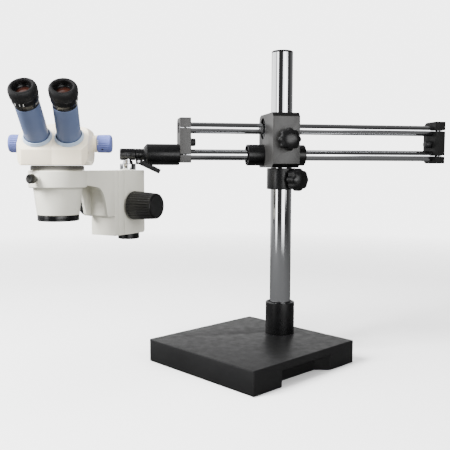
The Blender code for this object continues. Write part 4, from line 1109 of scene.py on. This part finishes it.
# ------------------------------------------------------------------ eye tubes
for side, hand in ((-1, "left"), (1, "right")):
    TUBE = tube_frame(hand)
    lathe(
        f"eyetube_{hand}_look",
        [(11, -7), (14, -7), (14, 3), (17.6, 3), (18, 3.5), (18, 63.9), (17.5, 64.4), (15.4, 64.4), (15.4, 26), (11, 24)],
        TUBE, "tube_blue", "tube_" + hand, ("eyetube_" + hand,), 128, 0.25,
    )
    lathe(
        f"eyepiece_{hand}_look",
        [
            (12.6, 28), (15, 28), (15, 64.7), (17.7, 64.7), (17.85, 65), (17.9, 66.6), (17.6, 66.9), (17.6, 67.4),
            (17.95, 67.7), (18.2, 69.4), (18.7, 71.2), (19.3, 73), (19.5, 74.2), (19.5, 79.6), (19.2, 80.3),
            (18.2, 81.3), (18.2, 90.6), (12.6, 90.6),
        ],
        TUBE, "eyepiece_black", "dioptre_" + hand, ("eyepiece_" + hand,), 128, 0.2,
    )
    cup = [
        (18.5, 82), (20.4, 82), (20.6, 82.4), (20.65, 85.2), (20.4, 85.6), (20.4, 86.3), (20.7, 86.7), (20.8, 88.6),
        (20.75, 91), (20.3, 93.3), (19.5, 95.1), (18.5, 96.3), (17.4, 97.1), (16.3, 97.4), (15.3, 97.3), (14.4, 96.7),
        (13.8, 95.7), (13.6, 94.6), (13.6, 91), (18.5, 91),
    ]
    lathe(f"eyecup_{hand}_look", cup, TUBE, "rubber", "dioptre_" + hand, ("eyecup_" + hand,), 128, 0.2)
    lathe(
        f"eye_lens_{hand}_look",
        [(0, 82), (12.2, 82.6), (12.2, 86), (10, 86.9), (7, 87.6), (3.5, 88.05), (0, 88.2)],
        TUBE, "glass", "dioptre_" + hand, ("eye_lens_" + hand,), 96,
    )
    lathe(
        f"lens_ring_{hand}", [(10.4, 86.9), (12.5, 86.5), (12.5, 88.6), (11.6, 88.6)],
        TUBE, "eyepiece_black", "dioptre_" + hand, (), 96, 0.1,
    )
    for k, at in enumerate((-126, -104, -88) if side < 0 else (-24,)):
        arc_patch(f"dioptre_mark_{hand}_{k}", 19.5, at, at + 3.6, 74.9, 79.0, 0.05, TUBE, "mark_white", "dioptre_" + hand)

# ------------------------------------------------------------------ nodes carried over
for node, look in (
    ("pillar_bolt", "steel"),
    ("lower_bushing", "brass"),
    ("focus_rack", "brass"),
    ("pinion_shaft", "steel"),
    ("zoom_shaft", "steel"),
    ("zoom_carriage", "brass"),
    ("prism_left", "glass"),
    ("prism_right", "glass"),
):
    cad = frame["nodes"][node]
    cad.data.materials.clear()
    cad.data.materials.append(INSIDE[look])

# ------------------------------------------------------------------ view layer update
bpy.context.view_layer.update()

# ------------------------------------------------------------------ stage
CAMERA = Vector((0.778, -0.815, 0.346))
AHEAD = Vector((-0.720, 0.694, 0)).normalized()
ACROSS_VIEW = Vector((0.694, 0.720, 0)).normalized()
middle_point = (Vector(size_before[0]) + Vector(size_before[1])) / 2

floor_nodes = Nodes("floor_paper", own_frame=False)
ft = floor_nodes.tree
paper = floor_nodes.mix(
    floor_nodes.remap(floor_nodes.noise(3.0, 3.0), 0.3, 0.7, 0, 1), (0.86, 0.86, 0.86), (0.88, 0.88, 0.88)
)
seen = ft.nodes.new("ShaderNodeLightPath")
paper = floor_nodes.mix(seen.outputs["Is Diffuse Ray"], paper, (0.12, 0.12, 0.115))
paper = floor_nodes.mix(seen.outputs["Is Glossy Ray"], paper, (0.04, 0.04, 0.04))
floor_nodes.link(paper, floor_nodes.shader.inputs["Base Color"])
floor_nodes.shader.inputs["Roughness"].default_value = 0.9
floor_nodes.shader.inputs["Specular IOR Level"].default_value = 0.05
distance = ft.nodes.new("ShaderNodeVectorMath")
distance.operation = "LENGTH"
floor_nodes.link(floor_nodes.place, distance.inputs[0])
floor_nodes.link(floor_nodes.remap(distance.outputs["Value"], 1.0, 2.3, 1.0, 0.0), floor_nodes.shader.inputs["Alpha"])
bm = bmesh.new()
rim = 96
previous = [bm.verts.new((0, 0, -0.0004))]
for ring_index in range(1, 13):
    radius = 2.4 * ring_index / 12
    loop = [
        bm.verts.new((radius * math.cos(2 * math.pi * i / rim), radius * math.sin(2 * math.pi * i / rim), -0.0004))
        for i in range(rim)
    ]
    for i in range(rim):
        j = (i + 1) % rim
        if len(previous) == 1:
            bm.faces.new((previous[0], loop[i], loop[j]))
        else:
            bm.faces.new((previous[i], loop[i], loop[j], previous[j]))
    previous = loop
mesh = bpy.data.meshes.new("floor")
bm.to_mesh(mesh)
bm.free()
floor = bpy.data.objects.new("floor", mesh)
scene.collection.objects.link(floor)
mesh.materials.append(floor_nodes.material)

# A room of soft boxes: plain white to the camera, even light on the object, and
# bright boxes between dark gaps in polished surfaces.
world = bpy.data.worlds.new("studio")
scene.world = world
world.use_nodes = True
wt = world.node_tree
background = wt.nodes["Background"]


def wnode(kind, **settings):
    node = wt.nodes.new(kind)
    for key, value in settings.items():
        setattr(node, key, value)
    return node


def wmath(kind, a, b=None):
    node = wnode("ShaderNodeMath", operation=kind)
    for i, value in enumerate((a, b)):
        if value is None:
            continue
        if isinstance(value, (int, float)):
            node.inputs[i].default_value = value
        else:
            wt.links.new(value, node.inputs[i])
    return node.outputs[0]


def wdot(source, axis):
    node = wnode("ShaderNodeVectorMath", operation="DOT_PRODUCT")
    wt.links.new(source, node.inputs[0])
    node.inputs[1].default_value = axis
    return node.outputs["Value"]


def ramp(value, low, high, stops):
    """A piecewise linear curve: stops are (place between low and high, value from 0 to 1)."""
    spread = wnode("ShaderNodeMapRange")
    spread.inputs["From Min"].default_value = low
    spread.inputs["From Max"].default_value = high
    wt.links.new(value, spread.inputs["Value"])
    node = wnode("ShaderNodeValToRGB")
    elements = node.color_ramp.elements
    while len(elements) > 1:
        elements.remove(elements[-1])
    for i, (place, level) in enumerate(stops):
        element = elements[0] if i == 0 else elements.new((place - low) / (high - low))
        element.position = (place - low) / (high - low)
        element.color = (level, level, level, 1)
    wt.links.new(spread.outputs["Result"], node.inputs["Fac"])
    return node.outputs["Color"]


direction = wnode("ShaderNodeTexCoord").outputs["Generated"]
to_right = wdot(direction, ACROSS_VIEW)
to_viewer = wdot(direction, -AHEAD)
to_top = wdot(direction, (0, 0, 1))
azimuth = wmath("MULTIPLY", wmath("ARCTAN2", to_right, to_viewer), 180 / math.pi)
rise = wmath("MULTIPLY", wmath("ARCSINE", to_top), 180 / math.pi)
boxes = ramp(
    azimuth, -180, 180,
    [(-180, 0.0), (-66, 0.0), (-59, 1.0), (-48, 1.0), (-41, 0.0), (2, 0.0), (9, 0.9), (24, 1.0), (32, 1.0), (38, 0.0), (180, 0.0)],
)
box_height = ramp(rise, -90, 90, [(-90, 0.0), (-17, 0.0), (-10, 1.0), (15, 1.0), (23, 0.0), (90, 0.0)])
walls = ramp(
    azimuth, -180, 180,
    [(-180, 1.0), (-140, 1.0), (-110, 0.45), (-85, 0.32), (-72, 0.18), (-60, 0.06), (-30, 0.045), (0, 0.05), (52, 0.045), (78, 0.05), (100, 0.12), (140, 0.30), (180, 1.0)],
)
strip = ramp(azimuth, -180, 180, [(-180, 0.0), (29, 0.0), (33, 1.0), (54, 1.0), (58, 0.0), (180, 0.0)])
strip_height = ramp(rise, -90, 90, [(-90, 0.0), (-4, 0.0), (1, 1.0), (11, 1.0), (18, 0.0), (90, 0.0)])
high_wall = ramp(azimuth, -180, 180, [(-180, 0.0), (-150, 0.0), (-135, 1.0), (-78, 1.0), (-68, 0.0), (180, 0.0)])
high_wall_height = ramp(rise, -90, 90, [(-90, 0.0), (1, 0.0), (5, 1.0), (40, 0.6), (90, 0.1)])
extra = wmath(
    "ADD",
    wmath("MULTIPLY", wmath("MULTIPLY", strip, strip_height), 4.4),
    wmath("MULTIPLY", wmath("MULTIPLY", high_wall, high_wall_height), 2.2),
)
ceiling = ramp(rise, -90, 90, [(-90, 0.0), (42, 0.0), (52, 1.0), (90, 0.7)])
wall_height = ramp(rise, -90, 90, [(-90, 0.5), (0, 1.0), (30, 0.8), (60, 0.25), (90, 0.12)])
glossy = wmath(
    "ADD",
    wmath(
        "ADD",
        wmath("ADD", wmath("MULTIPLY", wmath("MULTIPLY", boxes, box_height), 4.4), wmath("MULTIPLY", ceiling, 0.09)),
        extra,
    ),
    wmath("MULTIPLY", wmath("MULTIPLY", walls, wall_height), 0.9),
)
ray = wnode("ShaderNodeLightPath")
even = wmath("MAXIMUM", wmath("ADD", wmath("MULTIPLY", to_top, 0.48), 0.70), 0.34)
level = wnode("ShaderNodeMix", data_type="FLOAT")
wt.links.new(ray.outputs["Is Glossy Ray"], level.inputs[0])
wt.links.new(even, level.inputs[2])
wt.links.new(glossy, level.inputs[3])
shown = wnode("ShaderNodeMix", data_type="FLOAT")
wt.links.new(ray.outputs["Is Camera Ray"], shown.inputs[0])
wt.links.new(level.outputs[0], shown.inputs[2])
shown.inputs[3].default_value = 4.5
wt.links.new(shown.outputs[0], background.inputs["Strength"])
background.inputs["Color"].default_value = (1, 1, 1, 1)


def panel(name, place, target, size, power, glossy_too=False):
    light = bpy.data.lights.new(name, "AREA")
    light.shape = "RECTANGLE"
    light.size, light.size_y = size
    light.energy = power
    obj = bpy.data.objects.new(name, light)
    scene.collection.objects.link(obj)
    obj.location = place
    obj.rotation_euler = (Vector(target) - Vector(place)).to_track_quat("-Z", "Y").to_euler()
    obj.visible_glossy = glossy_too
    return obj


def studio(right, back, up):
    """A point given from the object's middle as the viewer sees it."""
    return middle_point + ACROSS_VIEW * right + AHEAD * back + Vector((0, 0, up))


panel("key", studio(-1.75, -1.05, 1.6), middle_point, (1.2, 1.2), 330)
panel("fill", studio(1.3, -1.6, 0.6), middle_point, (0.9, 1.6), 42)
panel("top", studio(0.0, 0.2, 1.8), middle_point, (1.6, 1.6), 38)

data = bpy.data.cameras.new("camera")
data.lens = 51.9
data.sensor_width = 36.0
camera = bpy.data.objects.new("camera", data)
scene.collection.objects.link(camera)
camera.location = CAMERA
pitch = math.radians(5.21)
look = AHEAD * math.cos(pitch) - Vector((0, 0, math.sin(pitch)))
camera.rotation_euler = (look.to_track_quat("-Z", "Y") @ Quaternion((0, 0, 1), math.radians(0.15))).to_euler()
scene.camera = camera
